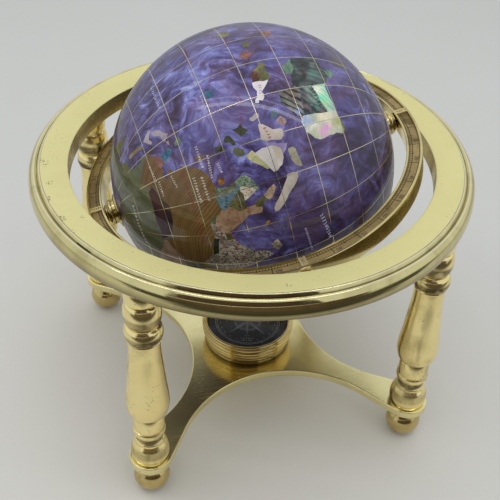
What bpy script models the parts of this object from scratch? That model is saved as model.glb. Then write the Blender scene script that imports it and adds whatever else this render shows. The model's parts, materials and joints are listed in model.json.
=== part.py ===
"""Gemstone globe in a four-legged brass stand, with a card compass on the base plate.

Lengths are in millimetres and become metres where a mesh is made. +Z is up, the feet stand on z = 0, and the
stand's upright axis is the Z axis. The graduated ring hangs on pivots along Y, and the legs stand on the diagonals.
"""

from math import acos, asin, atan2, cos, hypot, pi, radians, sin, sqrt

import bmesh
import bpy

MM = 0.001
CLEARANCE = 0.3

# Driving dimensions
GLOBE_RADIUS = 107.5
GLOBE_CENTRE = 216.0
POLAR_TILT = radians(12.1)

HORIZON_TOP = 230.5
HORIZON_BOTTOM = 212.0
HORIZON_INNER = 138.0
HORIZON_OUTER = 167.5

RING_INNER = 117.0
RING_OUTER = 128.5
RING_HALF_HEIGHT = 7.25
RING_LIP = 1.7
RING_RECESS = 1.3
DIVIDER_WIDTH = 4.9

LEG_CIRCLE = 152.8
LEG_COUNT = 4
BALL_RADIUS = 14.2
BALL_CENTRE = 13.9
FOOT_NECK = 8.5

PLATE_BOTTOM = 31.0
PLATE_TOP = 38.0
PLATE_HUB = 51.0
PLATE_SCOOP = 92.0
PLATE_LOBE = 16.7
PLATE_CHAMFER = 0.8

COMPASS_OFFSET = -4.0
HOUSING_FOOT = 39.5
HOUSING_WALL = 38.2
HOUSING_BORE = 35.0
HOUSING_FLOOR = 41.5
HOUSING_TOP = 56.0
BEZEL_TOP = 60.0
BEZEL_OPENING = 35.5
GLASS_RADIUS = 36.6
GLASS_THICKNESS = 1.6
CARD_RADIUS = 34.0
CARD_TOP = 54.3
CARD_THICKNESS = 0.8
POST_TIP = 52.6

PIN_RADIUS = 2.0
PIN_DEPTH = 4.0
POLE_HOLE_DEPTH = 9.0
GIMBAL_BEAD = 5.2
POLE_CAP_RADIUS = 13.0

# Facets round each kind of turned piece
RING_STEPS = 48
LEG_STEPS = 14
COMPASS_STEPS = 28
SMALL_STEPS = 12

CORNERS = {"back_right": 45, "back_left": 135, "front_left": 225, "front_right": 315}


def clear_scene():
    for item in list(bpy.data.objects):
        bpy.data.objects.remove(item, do_unlink=True)


def new_collection(name):
    group = bpy.data.collections.new(name)
    bpy.context.scene.collection.children.link(group)
    return group


def new_material(name, colour, roughness, metallic):
    material = bpy.data.materials.new(name)
    material.use_nodes = True
    shader = material.node_tree.nodes["Principled BSDF"]
    shader.inputs["Base Color"].default_value = (*colour, 1.0)
    shader.inputs["Roughness"].default_value = roughness
    shader.inputs["Metallic"].default_value = metallic
    return material


def place(item, group, material=None, parent=None, at=(0, 0, 0), turn=(0, 0, 0)):
    """Links an object, places it (millimetres and radians, under its parent) and gives it a material."""
    group.objects.link(item)
    item.parent = parent
    item.location = [value * MM for value in at]
    item.rotation_euler = turn
    if material:
        item.data.materials.append(material)
    return item


def turned(name, profile, steps, closed=False):
    """A turned solid: (radius, height) points down the outer side, swept round Z by a Screw modifier."""
    mesh = bpy.data.meshes.new(name)
    form = bmesh.new()
    points = [form.verts.new((radius * MM, 0, height * MM)) for radius, height in profile]
    pairs = list(zip(points, points[1:]))
    if closed:
        pairs.append((points[-1], points[0]))
    for start, end in pairs:
        form.edges.new((start, end))
    form.to_mesh(mesh)
    form.free()
    item = bpy.data.objects.new(name, mesh)
    screw = item.modifiers.new("Turn", "SCREW")
    screw.axis = "Z"
    screw.angle = 2 * pi
    screw.steps = steps
    screw.render_steps = steps
    screw.use_merge_vertices = True
    screw.merge_threshold = 0.00001
    screw.use_smooth_shade = True
    return item


def swell(top, bottom, top_radius, bottom_radius, rise, count):
    """Profile points from top to bottom whose radius bulges by rise, or hollows where rise is negative."""
    steps = [index / (count - 1) for index in range(count)]
    return [
        (top_radius + (bottom_radius - top_radius) * step + rise * sin(pi * step), top + (bottom - top) * step)
        for step in steps
    ]


def ball_arc(radius, centre, start, end, count):
    """Profile points on a ball between two angles below its top, in radians."""
    angles = [start + (end - start) * index / (count - 1) for index in range(count)]
    return [(radius * sin(angle), centre + radius * cos(angle)) for angle in angles]


def drill(item, group, name, radius, depth, at, turn):
    """Bores a round hole, as deep again outside the surface so that it opens cleanly."""
    mesh = bpy.data.meshes.new(name)
    form = bmesh.new()
    bmesh.ops.create_cone(
        form,
        cap_ends=True,
        segments=SMALL_STEPS,
        radius1=radius * MM,
        radius2=radius * MM,
        depth=2 * depth * MM,
    )
    form.to_mesh(mesh)
    form.free()
    cutter = bpy.data.objects.new(name, mesh)
    use_tool(item, place(cutter, group, parent=item.parent, at=at, turn=turn), "DIFFERENCE")


def use_tool(item, tool, operation):
    """Cuts or joins an object with a hidden tool object."""
    tool.hide_render = True
    tool.display_type = "WIRE"
    change = item.modifiers.new(tool.name, "BOOLEAN")
    change.operation = operation
    change.solver = "EXACT"
    change.object = tool


def foot_profile():
    neck_angle = asin(FOOT_NECK / BALL_RADIUS)
    sole_angle = pi - asin(sqrt(BALL_RADIUS**2 - BALL_CENTRE**2) / BALL_RADIUS)
    neck_top = PLATE_BOTTOM - CLEARANCE
    ball = ball_arc(BALL_RADIUS, BALL_CENTRE, neck_angle, sole_angle, 8)
    return [(0, neck_top), (FOOT_NECK, neck_top), *ball, (0, ball[-1][1])]


def leg_profile():
    top = HORIZON_BOTTOM - CLEARANCE
    bottom = PLATE_TOP + CLEARANCE
    collar = [(0, top), (10.2, top), (10.2, 210.0), (8.4, 205.5), (9.4, 202.6)]
    upper_bead = swell(202.0, 178.6, 9.8, 10.9, 2.7, 5)
    lower_bead = swell(177.6, 165.6, 11.2, 12.0, 1.9, 4)
    vase = [(12.5, 164.2), (11.5, 162.5), (11.8, 150), (14.3, 121), (16.2, 102), (14.9, 92), (12.0, 88)]
    neck = [(11.9, 87.5), (11.9, 72.5)]
    ring = [(12.4, 71.0), (12.4, 67.0), (9.9, 62.0)]
    base = [(11.5, 57.3), *swell(55.5, bottom, 11.5, 14.2, 1.9, 4), (0, bottom)]
    return collar + upper_bead + lower_bead + vase + neck + ring + base


def plate_outline():
    """One closed outline: four scoops between four lobes, joined by the straight lines tangent to both."""
    scoop_centre = PLATE_HUB + PLATE_SCOOP
    across = LEG_CIRCLE * sqrt(0.5)
    bearing = atan2(across, across - scoop_centre)
    apart = hypot(across - scoop_centre, across)
    half_scoop = pi - bearing - acos((PLATE_SCOOP + PLATE_LOBE) / apart)
    half_lobe = pi / 4 + half_scoop
    points = []
    for quarter in range(LEG_COUNT):
        axis = quarter * pi / 2
        points += arc_points(scoop_centre, axis, PLATE_SCOOP, pi + half_scoop, pi - half_scoop)
        points += arc_points(LEG_CIRCLE, axis + pi / 4, PLATE_LOBE, -half_lobe, half_lobe)
    return points


def arc_points(distance, bearing, radius, start, end, count=9):
    """Points on an arc whose centre is at a distance and bearing from the origin, angles taken from the bearing."""
    points = []
    for index in range(count):
        angle = bearing + start + (end - start) * index / (count - 1)
        x = distance * cos(bearing) + radius * cos(angle)
        y = distance * sin(bearing) + radius * sin(angle)
        points.append((x, y))
    return points


def make_feet_and_legs(group, brass):
    for corner, degrees in CORNERS.items():
        x = LEG_CIRCLE * cos(radians(degrees))
        y = LEG_CIRCLE * sin(radians(degrees))
        place(turned("ball_foot_" + corner, foot_profile(), LEG_STEPS), group, brass, at=(x, y, 0))
        place(turned("leg_" + corner, leg_profile(), LEG_STEPS), group, brass, at=(x, y, 0))


def make_base_plate(group, brass):
    thickness = PLATE_TOP - PLATE_BOTTOM
    shape = bpy.data.curves.new("base_plate", "CURVE")
    shape.dimensions = "2D"
    shape.fill_mode = "BOTH"
    shape.extrude = (thickness / 2 - PLATE_CHAMFER) * MM
    shape.bevel_depth = PLATE_CHAMFER * MM
    shape.bevel_resolution = 0
    shape.offset = -PLATE_CHAMFER * MM
    outline = plate_outline()
    spline = shape.splines.new("POLY")
    spline.points.add(len(outline) - 1)
    for point, (x, y) in zip(spline.points, outline):
        point.co = (x * MM, y * MM, 0, 1)
    spline.use_cyclic_u = True
    plate = bpy.data.objects.new("base_plate", shape)
    place(plate, group, brass, at=(0, 0, (PLATE_TOP + PLATE_BOTTOM) / 2))


def make_compass(group, brass, glass, card_blue):
    centre = (0, COMPASS_OFFSET, 0)
    foot = PLATE_TOP + CLEARANCE
    housing = [
        (0, POST_TIP),
        (1.2, 50.4),
        (1.6, HOUSING_FLOOR),
        (HOUSING_BORE, HOUSING_FLOOR),
        (HOUSING_BORE, HOUSING_TOP),
        (HOUSING_WALL, HOUSING_TOP),
        (HOUSING_WALL, 43.0),
        (HOUSING_FOOT, 41.5),
        (HOUSING_FOOT, foot),
        (0, foot),
    ]
    place(turned("compass_housing", housing, COMPASS_STEPS), group, brass, at=centre)
    glass_bottom = HOUSING_TOP + CLEARANCE
    glass_top = glass_bottom + GLASS_THICKNESS
    disc = [(0, glass_top), (GLASS_RADIUS, glass_top), (GLASS_RADIUS, glass_bottom), (0, glass_bottom)]
    place(turned("compass_glass", disc, COMPASS_STEPS), group, glass, at=centre)
    bezel = [
        (38.0, BEZEL_TOP),
        (HOUSING_FOOT, BEZEL_TOP - 1.2),
        (HOUSING_FOOT, 54.5),
        (HOUSING_WALL + CLEARANCE, 54.5),
        (HOUSING_WALL + CLEARANCE, glass_bottom),
        (GLASS_RADIUS + CLEARANCE, glass_bottom),
        (GLASS_RADIUS + CLEARANCE, glass_top + CLEARANCE),
        (BEZEL_OPENING, glass_top + CLEARANCE),
        (BEZEL_OPENING, BEZEL_TOP - 0.8),
        (36.2, BEZEL_TOP),
    ]
    place(turned("compass_bezel", bezel, COMPASS_STEPS, closed=True), group, brass, at=centre)
    card_bottom = CARD_TOP - CARD_THICKNESS
    card = [
        (0, CARD_TOP),
        (CARD_RADIUS, CARD_TOP),
        (CARD_RADIUS, card_bottom),
        (3.5, card_bottom),
        (3.0, 51.0),
        (1.6, 51.0),
        (0, POST_TIP + 2 * CLEARANCE),
    ]
    place(turned("compass_card", card, COMPASS_STEPS), group, card_blue, at=centre)


def make_horizon_ring(group, tools, brass):
    """The moulded ring: a slightly dished flat, two grooves, a bead and a large rounded edge."""
    depths = [
        (157.6, 0),
        (158.3, 1.0),
        (159.4, 0.5),
        (160.6, 1.8),
        (162.2, 1.4),
        (163.9, 3.6),
        (166.2, 5.4),
        (HORIZON_OUTER, 9.0),
        (HORIZON_OUTER - 0.6, 13.0),
        (HORIZON_OUTER - 3.3, 17.0),
        (HORIZON_OUTER - 4.8, 18.5),
        (HORIZON_INNER, 18.5),
        (HORIZON_INNER, 2.5),
    ]
    profile = [(radius, HORIZON_TOP - depth) for radius, depth in depths]
    ring = place(turned("horizon_ring", profile, RING_STEPS, closed=True), group, brass)
    for side in (-1, 1):
        hole = "horizon_pin_hole_" + ("front" if side < 0 else "back")
        at = (0, side * HORIZON_INNER, GLOBE_CENTRE)
        drill(ring, tools, hole, PIN_RADIUS + CLEARANCE, PIN_DEPTH + CLEARANCE, at, (pi / 2, 0, 0))


def make_gimbal_pivots(group, brass):
    """A bead on a pin which runs from a hole in the horizon ring to a hole in the graduated ring."""
    near = RING_OUTER + 2 * CLEARANCE
    far = HORIZON_INNER - 2 * CLEARANCE
    middle = (near + far) / 2
    profile = [
        (0, far + PIN_DEPTH),
        (PIN_RADIUS, far + PIN_DEPTH),
        (PIN_RADIUS, far),
        (3.4, far),
        (GIMBAL_BEAD - 0.9, middle + 2.2),
        (GIMBAL_BEAD, middle),
        (GIMBAL_BEAD - 0.9, middle - 2.2),
        (3.4, near),
        (PIN_RADIUS, near),
        (PIN_RADIUS, near - PIN_DEPTH),
        (0, near - PIN_DEPTH),
    ]
    for side, name in ((-1, "gimbal_pivot_front"), (1, "gimbal_pivot_back")):
        pivot = turned(name, profile, SMALL_STEPS)
        place(pivot, group, brass, at=(0, 0, GLOBE_CENTRE), turn=(-side * pi / 2, 0, 0))


def make_graduated_ring(group, tools, brass, axis):
    """A flat ring with a recessed scale channel in its face, crossed by four raised bars."""
    floor = RING_HALF_HEIGHT - RING_RECESS
    profile = [
        (RING_OUTER, RING_HALF_HEIGHT),
        (RING_OUTER, -RING_HALF_HEIGHT),
        (RING_INNER, -RING_HALF_HEIGHT),
        (RING_INNER, RING_HALF_HEIGHT),
        (RING_INNER + RING_LIP, RING_HALF_HEIGHT),
        (RING_INNER + RING_LIP, floor),
        (RING_OUTER - RING_LIP, floor),
        (RING_OUTER - RING_LIP, RING_HALF_HEIGHT),
    ]
    ring = place(turned("graduated_ring", profile, RING_STEPS, closed=True), group, brass, axis)
    middle = (RING_INNER + RING_OUTER) / 2
    length = RING_OUTER - RING_INNER - RING_LIP
    for quarter in range(4):
        angle = quarter * pi / 2
        mesh = bpy.data.meshes.new("divider_" + str(quarter + 1))
        form = bmesh.new()
        bmesh.ops.create_cube(form, size=MM)
        bmesh.ops.scale(form, vec=(length, DIVIDER_WIDTH, 2 * RING_RECESS - 0.2), verts=form.verts)
        form.to_mesh(mesh)
        form.free()
        bar = bpy.data.objects.new(mesh.name, mesh)
        at = (middle * cos(angle), middle * sin(angle), floor)
        use_tool(ring, place(bar, tools, parent=axis, at=at, turn=(0, 0, angle)), "UNION")
    for side in (-1, 1):
        at = (0, side * RING_OUTER, 0)
        name = "gimbal_hole_" + ("front" if side < 0 else "back")
        drill(ring, tools, name, PIN_RADIUS + CLEARANCE, PIN_DEPTH + CLEARANCE, at, (pi / 2, 0, 0))
        at = (side * RING_INNER, 0, 0)
        name = "pole_hole_" + ("north" if side < 0 else "south")
        drill(ring, tools, name, PIN_RADIUS + CLEARANCE, PIN_DEPTH + CLEARANCE, at, (0, pi / 2, 0))


def make_pole_pivots(group, brass, axis):
    """A thin cap over the pole, two beads, and a pin between a hole in the ring and a hole in the globe."""
    cap_angle = asin(POLE_CAP_RADIUS / GLOBE_RADIUS)
    pin_angle = asin(PIN_RADIUS / (GLOBE_RADIUS + CLEARANCE))
    under = ball_arc(GLOBE_RADIUS + CLEARANCE, 0, cap_angle, pin_angle, 3)
    far = RING_INNER - 2 * CLEARANCE
    profile = [
        (0, far + PIN_DEPTH),
        (PIN_RADIUS, far + PIN_DEPTH),
        (PIN_RADIUS, far),
        (4.4, far - 0.4),
        (5.2, far - 1.6),
        (4.4, far - 2.9),
        (7.4, far - 3.6),
        (7.6, far - 4.6),
        (POLE_CAP_RADIUS - 2.0, GLOBE_RADIUS + 0.8),
        (POLE_CAP_RADIUS, under[0][1]),
        *under,
        (PIN_RADIUS, GLOBE_RADIUS - POLE_HOLE_DEPTH),
        (0, GLOBE_RADIUS - POLE_HOLE_DEPTH),
    ]
    for side, name in ((-1, "pole_pivot_north"), (1, "pole_pivot_south")):
        place(turned(name, profile, LEG_STEPS), group, brass, axis, turn=(0, side * pi / 2, 0))


def make_globe(group, tools, stone, axis):
    """The ball, with its own Z axis along the polar axis and a blind pin hole at each pole."""
    mesh = bpy.data.meshes.new("globe")
    form = bmesh.new()
    bmesh.ops.create_uvsphere(form, u_segments=36, v_segments=18, radius=GLOBE_RADIUS * MM)
    form.to_mesh(mesh)
    form.free()
    mesh.shade_smooth()
    globe = bpy.data.objects.new("globe", mesh)
    place(globe, group, stone, axis, turn=(0, -pi / 2, 0))
    for side, name in ((-1, "globe_hole_north"), (1, "globe_hole_south")):
        at = (side * GLOBE_RADIUS, 0, 0)
        drill(globe, tools, name, PIN_RADIUS + CLEARANCE, POLE_HOLE_DEPTH + CLEARANCE, at, (0, pi / 2, 0))


def main():
    clear_scene()
    group = new_collection("gemstone_globe")
    tools = new_collection("cutters")
    brass = new_material("lacquered_brass", (0.66, 0.58, 0.29), 0.28, 1.0)
    dark_brass = new_material("antique_brass", (0.30, 0.23, 0.10), 0.35, 1.0)
    stone = new_material("inlaid_stone", (0.25, 0.22, 0.55), 0.15, 0.0)
    glass = new_material("clear_glass", (0.90, 0.93, 0.92), 0.05, 0.0)
    card_blue = new_material("compass_card_blue", (0.02, 0.03, 0.08), 0.50, 0.0)

    axis = bpy.data.objects.new("tilt_axis", None)
    place(axis, group, at=(0, 0, GLOBE_CENTRE), turn=(0, -POLAR_TILT, 0))

    make_feet_and_legs(group, brass)
    make_base_plate(group, brass)
    make_compass(group, brass, glass, card_blue)
    make_horizon_ring(group, tools, brass)
    make_gimbal_pivots(group, brass)
    make_graduated_ring(group, tools, dark_brass, axis)
    make_pole_pivots(group, brass, axis)
    make_globe(group, tools, stone, axis)


main()
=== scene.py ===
"""A gemstone globe on its four-legged brass stand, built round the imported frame. Lengths are millimetres."""

import json
from math import asin, atan2, cos, degrees, hypot, pi, radians, sin, sqrt

import bpy
import numpy as np
from mathutils import Matrix, Quaternion, Vector, noise
from mathutils.geometry import delaunay_2d_cdt


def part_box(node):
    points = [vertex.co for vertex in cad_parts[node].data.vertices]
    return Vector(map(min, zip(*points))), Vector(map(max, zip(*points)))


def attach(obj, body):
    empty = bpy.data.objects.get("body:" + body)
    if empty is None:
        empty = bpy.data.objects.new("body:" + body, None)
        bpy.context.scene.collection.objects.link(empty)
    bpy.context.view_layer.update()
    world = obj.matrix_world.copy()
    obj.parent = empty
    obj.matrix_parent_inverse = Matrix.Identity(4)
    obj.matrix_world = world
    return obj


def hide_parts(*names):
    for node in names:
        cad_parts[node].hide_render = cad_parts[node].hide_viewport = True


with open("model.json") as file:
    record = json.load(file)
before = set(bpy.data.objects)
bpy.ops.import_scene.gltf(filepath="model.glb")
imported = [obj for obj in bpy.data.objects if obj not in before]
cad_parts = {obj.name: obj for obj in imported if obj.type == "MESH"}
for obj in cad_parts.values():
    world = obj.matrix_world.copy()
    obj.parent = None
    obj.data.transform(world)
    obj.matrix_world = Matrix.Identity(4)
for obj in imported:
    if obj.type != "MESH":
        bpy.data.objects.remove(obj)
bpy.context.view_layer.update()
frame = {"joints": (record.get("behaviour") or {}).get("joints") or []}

MM = 0.001


# ---------------------------------------------------------------- sizes, most of them read from the frame


def box(node):
    """A node's lowest and highest corners, in millimetres."""
    low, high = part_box(node)
    return Vector(low) / MM, Vector(high) / MM


def joint(name):
    return next(item for item in frame["joints"] if item["name"] == name)


SPIN_AXIS = Vector(joint("globe_spin")["axis"]).normalized()
TILT = atan2(SPIN_AXIS.z, SPIN_AXIS.x)
CENTRE = Vector(joint("globe_spin")["pos_m"]) / MM
# the wires stand proud of the stones, so the stones lie a little inside the CAD's ball
WIRE_ROOM = 0.06
GLOBE_RADIUS = box("globe")[1].z - CENTRE.z - WIRE_ROOM
RING_TOP = box("horizon_ring")[1].z
HORIZON_INNER = 138.0
SCALE_OUTER = box("graduated_ring")[1].y
SCALE_INNER = 117.0
SCALE_HALF = 7.25
PLATE_BOTTOM = box("base_plate")[0].z
PLATE_TOP = box("base_plate")[1].z
LEG_CIRCLE = 152.8
COMPASS_Y = (box("compass_housing")[0].y + box("compass_housing")[1].y) / 2
# the gap that the CAD leaves between parts that stand on each other
GAP = 0.3
PIN_RADIUS = 2.0
PIN_REACH = 4.0
RING_STEPS = 240

TO_RING = Matrix.Translation(CENTRE) @ Matrix.Rotation(-TILT, 4, "Y")
TO_COMPASS = Matrix.Translation((0, COMPASS_Y, 0))
QUARTERS = [Matrix.Rotation(quarter * pi / 2, 4, "Z") for quarter in range(4)]


# ---------------------------------------------------------------- mesh helpers


def add_piece(name, verts, faces, material, body, slot, nodes=(), to_world=None, sharp=38, loop_normals=None):
    """One object from points in millimetres, with its body and the CAD nodes it stands for. The slot is not
    used.
    """
    points = [Vector(v) for v in verts]
    if to_world is not None:
        points = [to_world @ v for v in points]
    mesh = bpy.data.meshes.new(name)
    mesh.from_pydata([v * MM for v in points], [], faces)
    mesh.materials.append(material)
    mesh.shade_smooth()
    mesh.set_sharp_from_angle(angle=radians(sharp))
    if loop_normals is not None:
        mesh.normals_split_custom_set(loop_normals)
    item = bpy.data.objects.new(name, mesh)
    bpy.context.scene.collection.objects.link(item)
    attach(item, body)
    for node in nodes:
        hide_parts(node)
    return item


def smooth_run(points, count=5):
    """A Catmull-Rom curve through 2-D points, with its ends kept."""
    padded = [points[0], *points, points[-1]]
    out = []
    for index in range(1, len(padded) - 2):
        a, b, c, d = (np.array(p, float) for p in padded[index - 1 : index + 3])
        for step in range(count):
            t = step / count
            bend = (2 * a - 5 * b + 4 * c - d) * t**2 + (3 * b - a - 3 * c + d) * t**3
            out.append(0.5 * (2 * b + (c - a) * t + bend))
    out.append(np.array(points[-1], float))
    return [(float(r), float(z)) for r, z in out]


def arc_run(centre, radius, start, end, count):
    """Profile points on an arc, angles in degrees from the outward direction, counted upwards."""
    angles = [radians(start + (end - start) * index / (count - 1)) for index in range(count)]
    return [(centre[0] + radius * cos(angle), centre[1] + radius * sin(angle)) for angle in angles]


def turned(profile, steps):
    """Vertices and faces of a profile swept round Z, from the top down its outer side."""
    verts = []
    rows = []
    for radius, height in profile:
        if radius < 1e-6:
            rows.append([len(verts)] * steps)
            verts.append((0, 0, height))
            continue
        rows.append(list(range(len(verts), len(verts) + steps)))
        for index in range(steps):
            angle = 2 * pi * index / steps
            verts.append((radius * cos(angle), radius * sin(angle), height))
    if profile[0][0] > 1e-6:
        rows.append(rows[0])
    faces = []
    for upper, lower in zip(rows, rows[1:]):
        for index in range(steps):
            after = (index + 1) % steps
            face = [upper[index], lower[index], lower[after], upper[after]]
            face = [v for place, v in enumerate(face) if v != face[place - 1]]
            if len(face) > 2:
                faces.append(face)
    return verts, faces


def joined(shapes):
    """Several vertex and face lists as one."""
    verts = []
    faces = []
    for some_verts, some_faces in shapes:
        start = len(verts)
        verts += [tuple(v) for v in some_verts]
        faces += [[start + index for index in face] for face in some_faces]
    return verts, faces


def moved(shape, matrix):
    return [tuple(matrix @ Vector(v)) for v in shape[0]], shape[1]


def prism(corners, bottom, top):
    """A closed upright prism on counter-clockwise corners."""
    count = len(corners)
    verts = [(x, y, bottom) for x, y in corners] + [(x, y, top) for x, y in corners]
    faces = [list(range(count))[::-1], list(range(count, 2 * count))]
    for index in range(count):
        after = (index + 1) % count
        faces.append([index, after, count + after, count + index])
    return verts, faces


def bar(start, end, width, bottom, top):
    """A straight stroke between two points of a flat face."""
    a = Vector(start)
    b = Vector(end)
    side = Vector((a.y - b.y, b.x - a.x)).normalized() * width / 2
    return prism([a - side, b - side, b + side, a + side], bottom, top)


def flat_ring(radius, width, bottom, top, steps=144):
    outer = radius + width / 2
    inner = radius - width / 2
    return turned([(outer, top), (outer, bottom), (inner, bottom), (inner, top)], steps)


def polar(radius, bearing):
    """The X and Y of a place at a radius and a bearing in degrees."""
    return radius * cos(radians(bearing)), radius * sin(radians(bearing))


# ---------------------------------------------------------------- material helpers


def linear(code):
    """A colour code such as 8A6636 as linear red, green, blue and one."""
    parts = [int(code[index : index + 2], 16) / 255 for index in (0, 2, 4)]
    return [*(part / 12.92 if part <= 0.04045 else ((part + 0.055) / 1.055) ** 2.4 for part in parts), 1.0]


class Recipe:
    """A material under construction: its node tree, its Principled shader and its object coordinates."""

    def __init__(self, name, roughness=0.3, metallic=0.0, coat=0.0, coat_roughness=0.03, specular=0.5):
        self.material = bpy.data.materials.new(name)
        self.material.use_nodes = True
        self.tree = self.material.node_tree
        self.shader = self.tree.nodes["Principled BSDF"]
        self.shader.inputs["Roughness"].default_value = roughness
        self.shader.inputs["Metallic"].default_value = metallic
        self.shader.inputs["Specular IOR Level"].default_value = specular
        self.shader.inputs["Coat Weight"].default_value = coat
        self.shader.inputs["Coat Roughness"].default_value = coat_roughness
        self.coords = self.tree.nodes.new("ShaderNodeTexCoord").outputs["Object"]

    def node(self, kind, values=(), **settings):
        """Adds a node. Values are (input, number, colour or socket) pairs; the rest are its settings."""
        made = self.tree.nodes.new("ShaderNode" + kind)
        for key, value in settings.items():
            setattr(made, key, value)
        for key, value in values:
            if isinstance(value, bpy.types.NodeSocket):
                self.tree.links.new(value, made.inputs[key])
            else:
                made.inputs[key].default_value = value
        return made

    def sum(self, first, second, kind="ADD"):
        return self.node("Math", [(0, first), (1, second)], operation=kind).outputs[0]

    def vector_sum(self, first, second, kind="ADD"):
        return self.node("VectorMath", [(0, first), (1, second)], operation=kind).outputs[0]

    def noise(self, scale, detail=4.0, rough=0.55, warp=0.0, vector=None):
        values = [("Vector", vector or self.coords), ("Scale", scale), ("Detail", detail)]
        values += [("Roughness", rough), ("Distortion", warp)]
        return self.node("TexNoise", values).outputs["Fac"]

    def warped(self, scale, amount, detail=3.0, vector=None):
        """Coordinates pushed about by a soft noise, by an amount in metres."""
        start = vector or self.coords
        push = self.node("TexNoise", [("Vector", start), ("Scale", scale), ("Detail", detail)]).outputs["Color"]
        centred = self.vector_sum(push, (0.5, 0.5, 0.5), "SUBTRACT")
        scaled = self.node("VectorMath", [(0, centred), ("Scale", amount)], operation="SCALE").outputs[0]
        return self.vector_sum(start, scaled)

    def stretched(self, scale, turn=(0, 0, 0), vector=None):
        values = [("Vector", vector or self.coords), ("Rotation", turn), ("Scale", scale)]
        return self.node("Mapping", values).outputs[0]

    def along(self, direction, vector=None):
        """The distance in metres along a direction."""
        made = self.node("VectorMath", [(0, vector or self.coords), (1, direction)], operation="DOT_PRODUCT")
        return made.outputs["Value"]

    def length_of(self, vector):
        return self.node("VectorMath", [(0, vector)], operation="LENGTH").outputs["Value"]

    def share_of_reach(self, point, reach, vector=None):
        """How far away a point is, as a share of a reach. Both are in millimetres."""
        middle = tuple(part * MM for part in point)
        made = self.node("VectorMath", [(0, vector or self.coords), (1, middle)], operation="DISTANCE")
        return self.sum(made.outputs["Value"], reach * MM, "DIVIDE")

    def wave(self, distance, length, shift):
        """A sine between 0 and 1 over a distance in metres."""
        turn = self.sum(self.sum(distance, 2 * pi / length, "MULTIPLY"), shift)
        half = self.sum(self.node("Math", [(0, turn)], operation="SINE").outputs[0], 0.5, "MULTIPLY")
        return self.sum(half, 0.5)

    def ramp(self, factor, stops):
        """A colour ramp. Stops are (place, colour code or grey number)."""
        made = self.node("ValToRGB", [("Fac", factor)])
        elements = made.color_ramp.elements
        while len(elements) < len(stops):
            elements.new(0.5)
        for element, (place, colour) in zip(elements, stops):
            element.position = place
            element.color = linear(colour) if isinstance(colour, str) else (colour, colour, colour, 1.0)
        return made.outputs["Color"]

    def mix(self, factor, first, second):
        made = self.node("Mix", data_type="RGBA")
        for socket, value in ((made.inputs[0], factor), (made.inputs[6], first), (made.inputs[7], second)):
            if isinstance(value, bpy.types.NodeSocket):
                self.tree.links.new(value, socket)
            else:
                socket.default_value = linear(value) if isinstance(value, str) else value
        return made.outputs[2]

    def colour(self, socket):
        self.tree.links.new(socket, self.shader.inputs["Base Color"])

    def rough(self, socket, low, high):
        """Roughness between two values, driven by a grey socket."""
        spread = self.sum(self.sum(socket, high - low, "MULTIPLY"), low)
        self.tree.links.new(spread, self.shader.inputs["Roughness"])

    def bump(self, heights):
        """Bump from (height socket, depth in metres) pairs."""
        normal = None
        for height, depth in heights:
            values = [("Height", height), ("Distance", depth), ("Strength", 1.0)]
            if normal is not None:
                values.append(("Normal", normal))
            normal = self.node("Bump", values).outputs[0]
        self.tree.links.new(normal, self.shader.inputs["Normal"])


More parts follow.
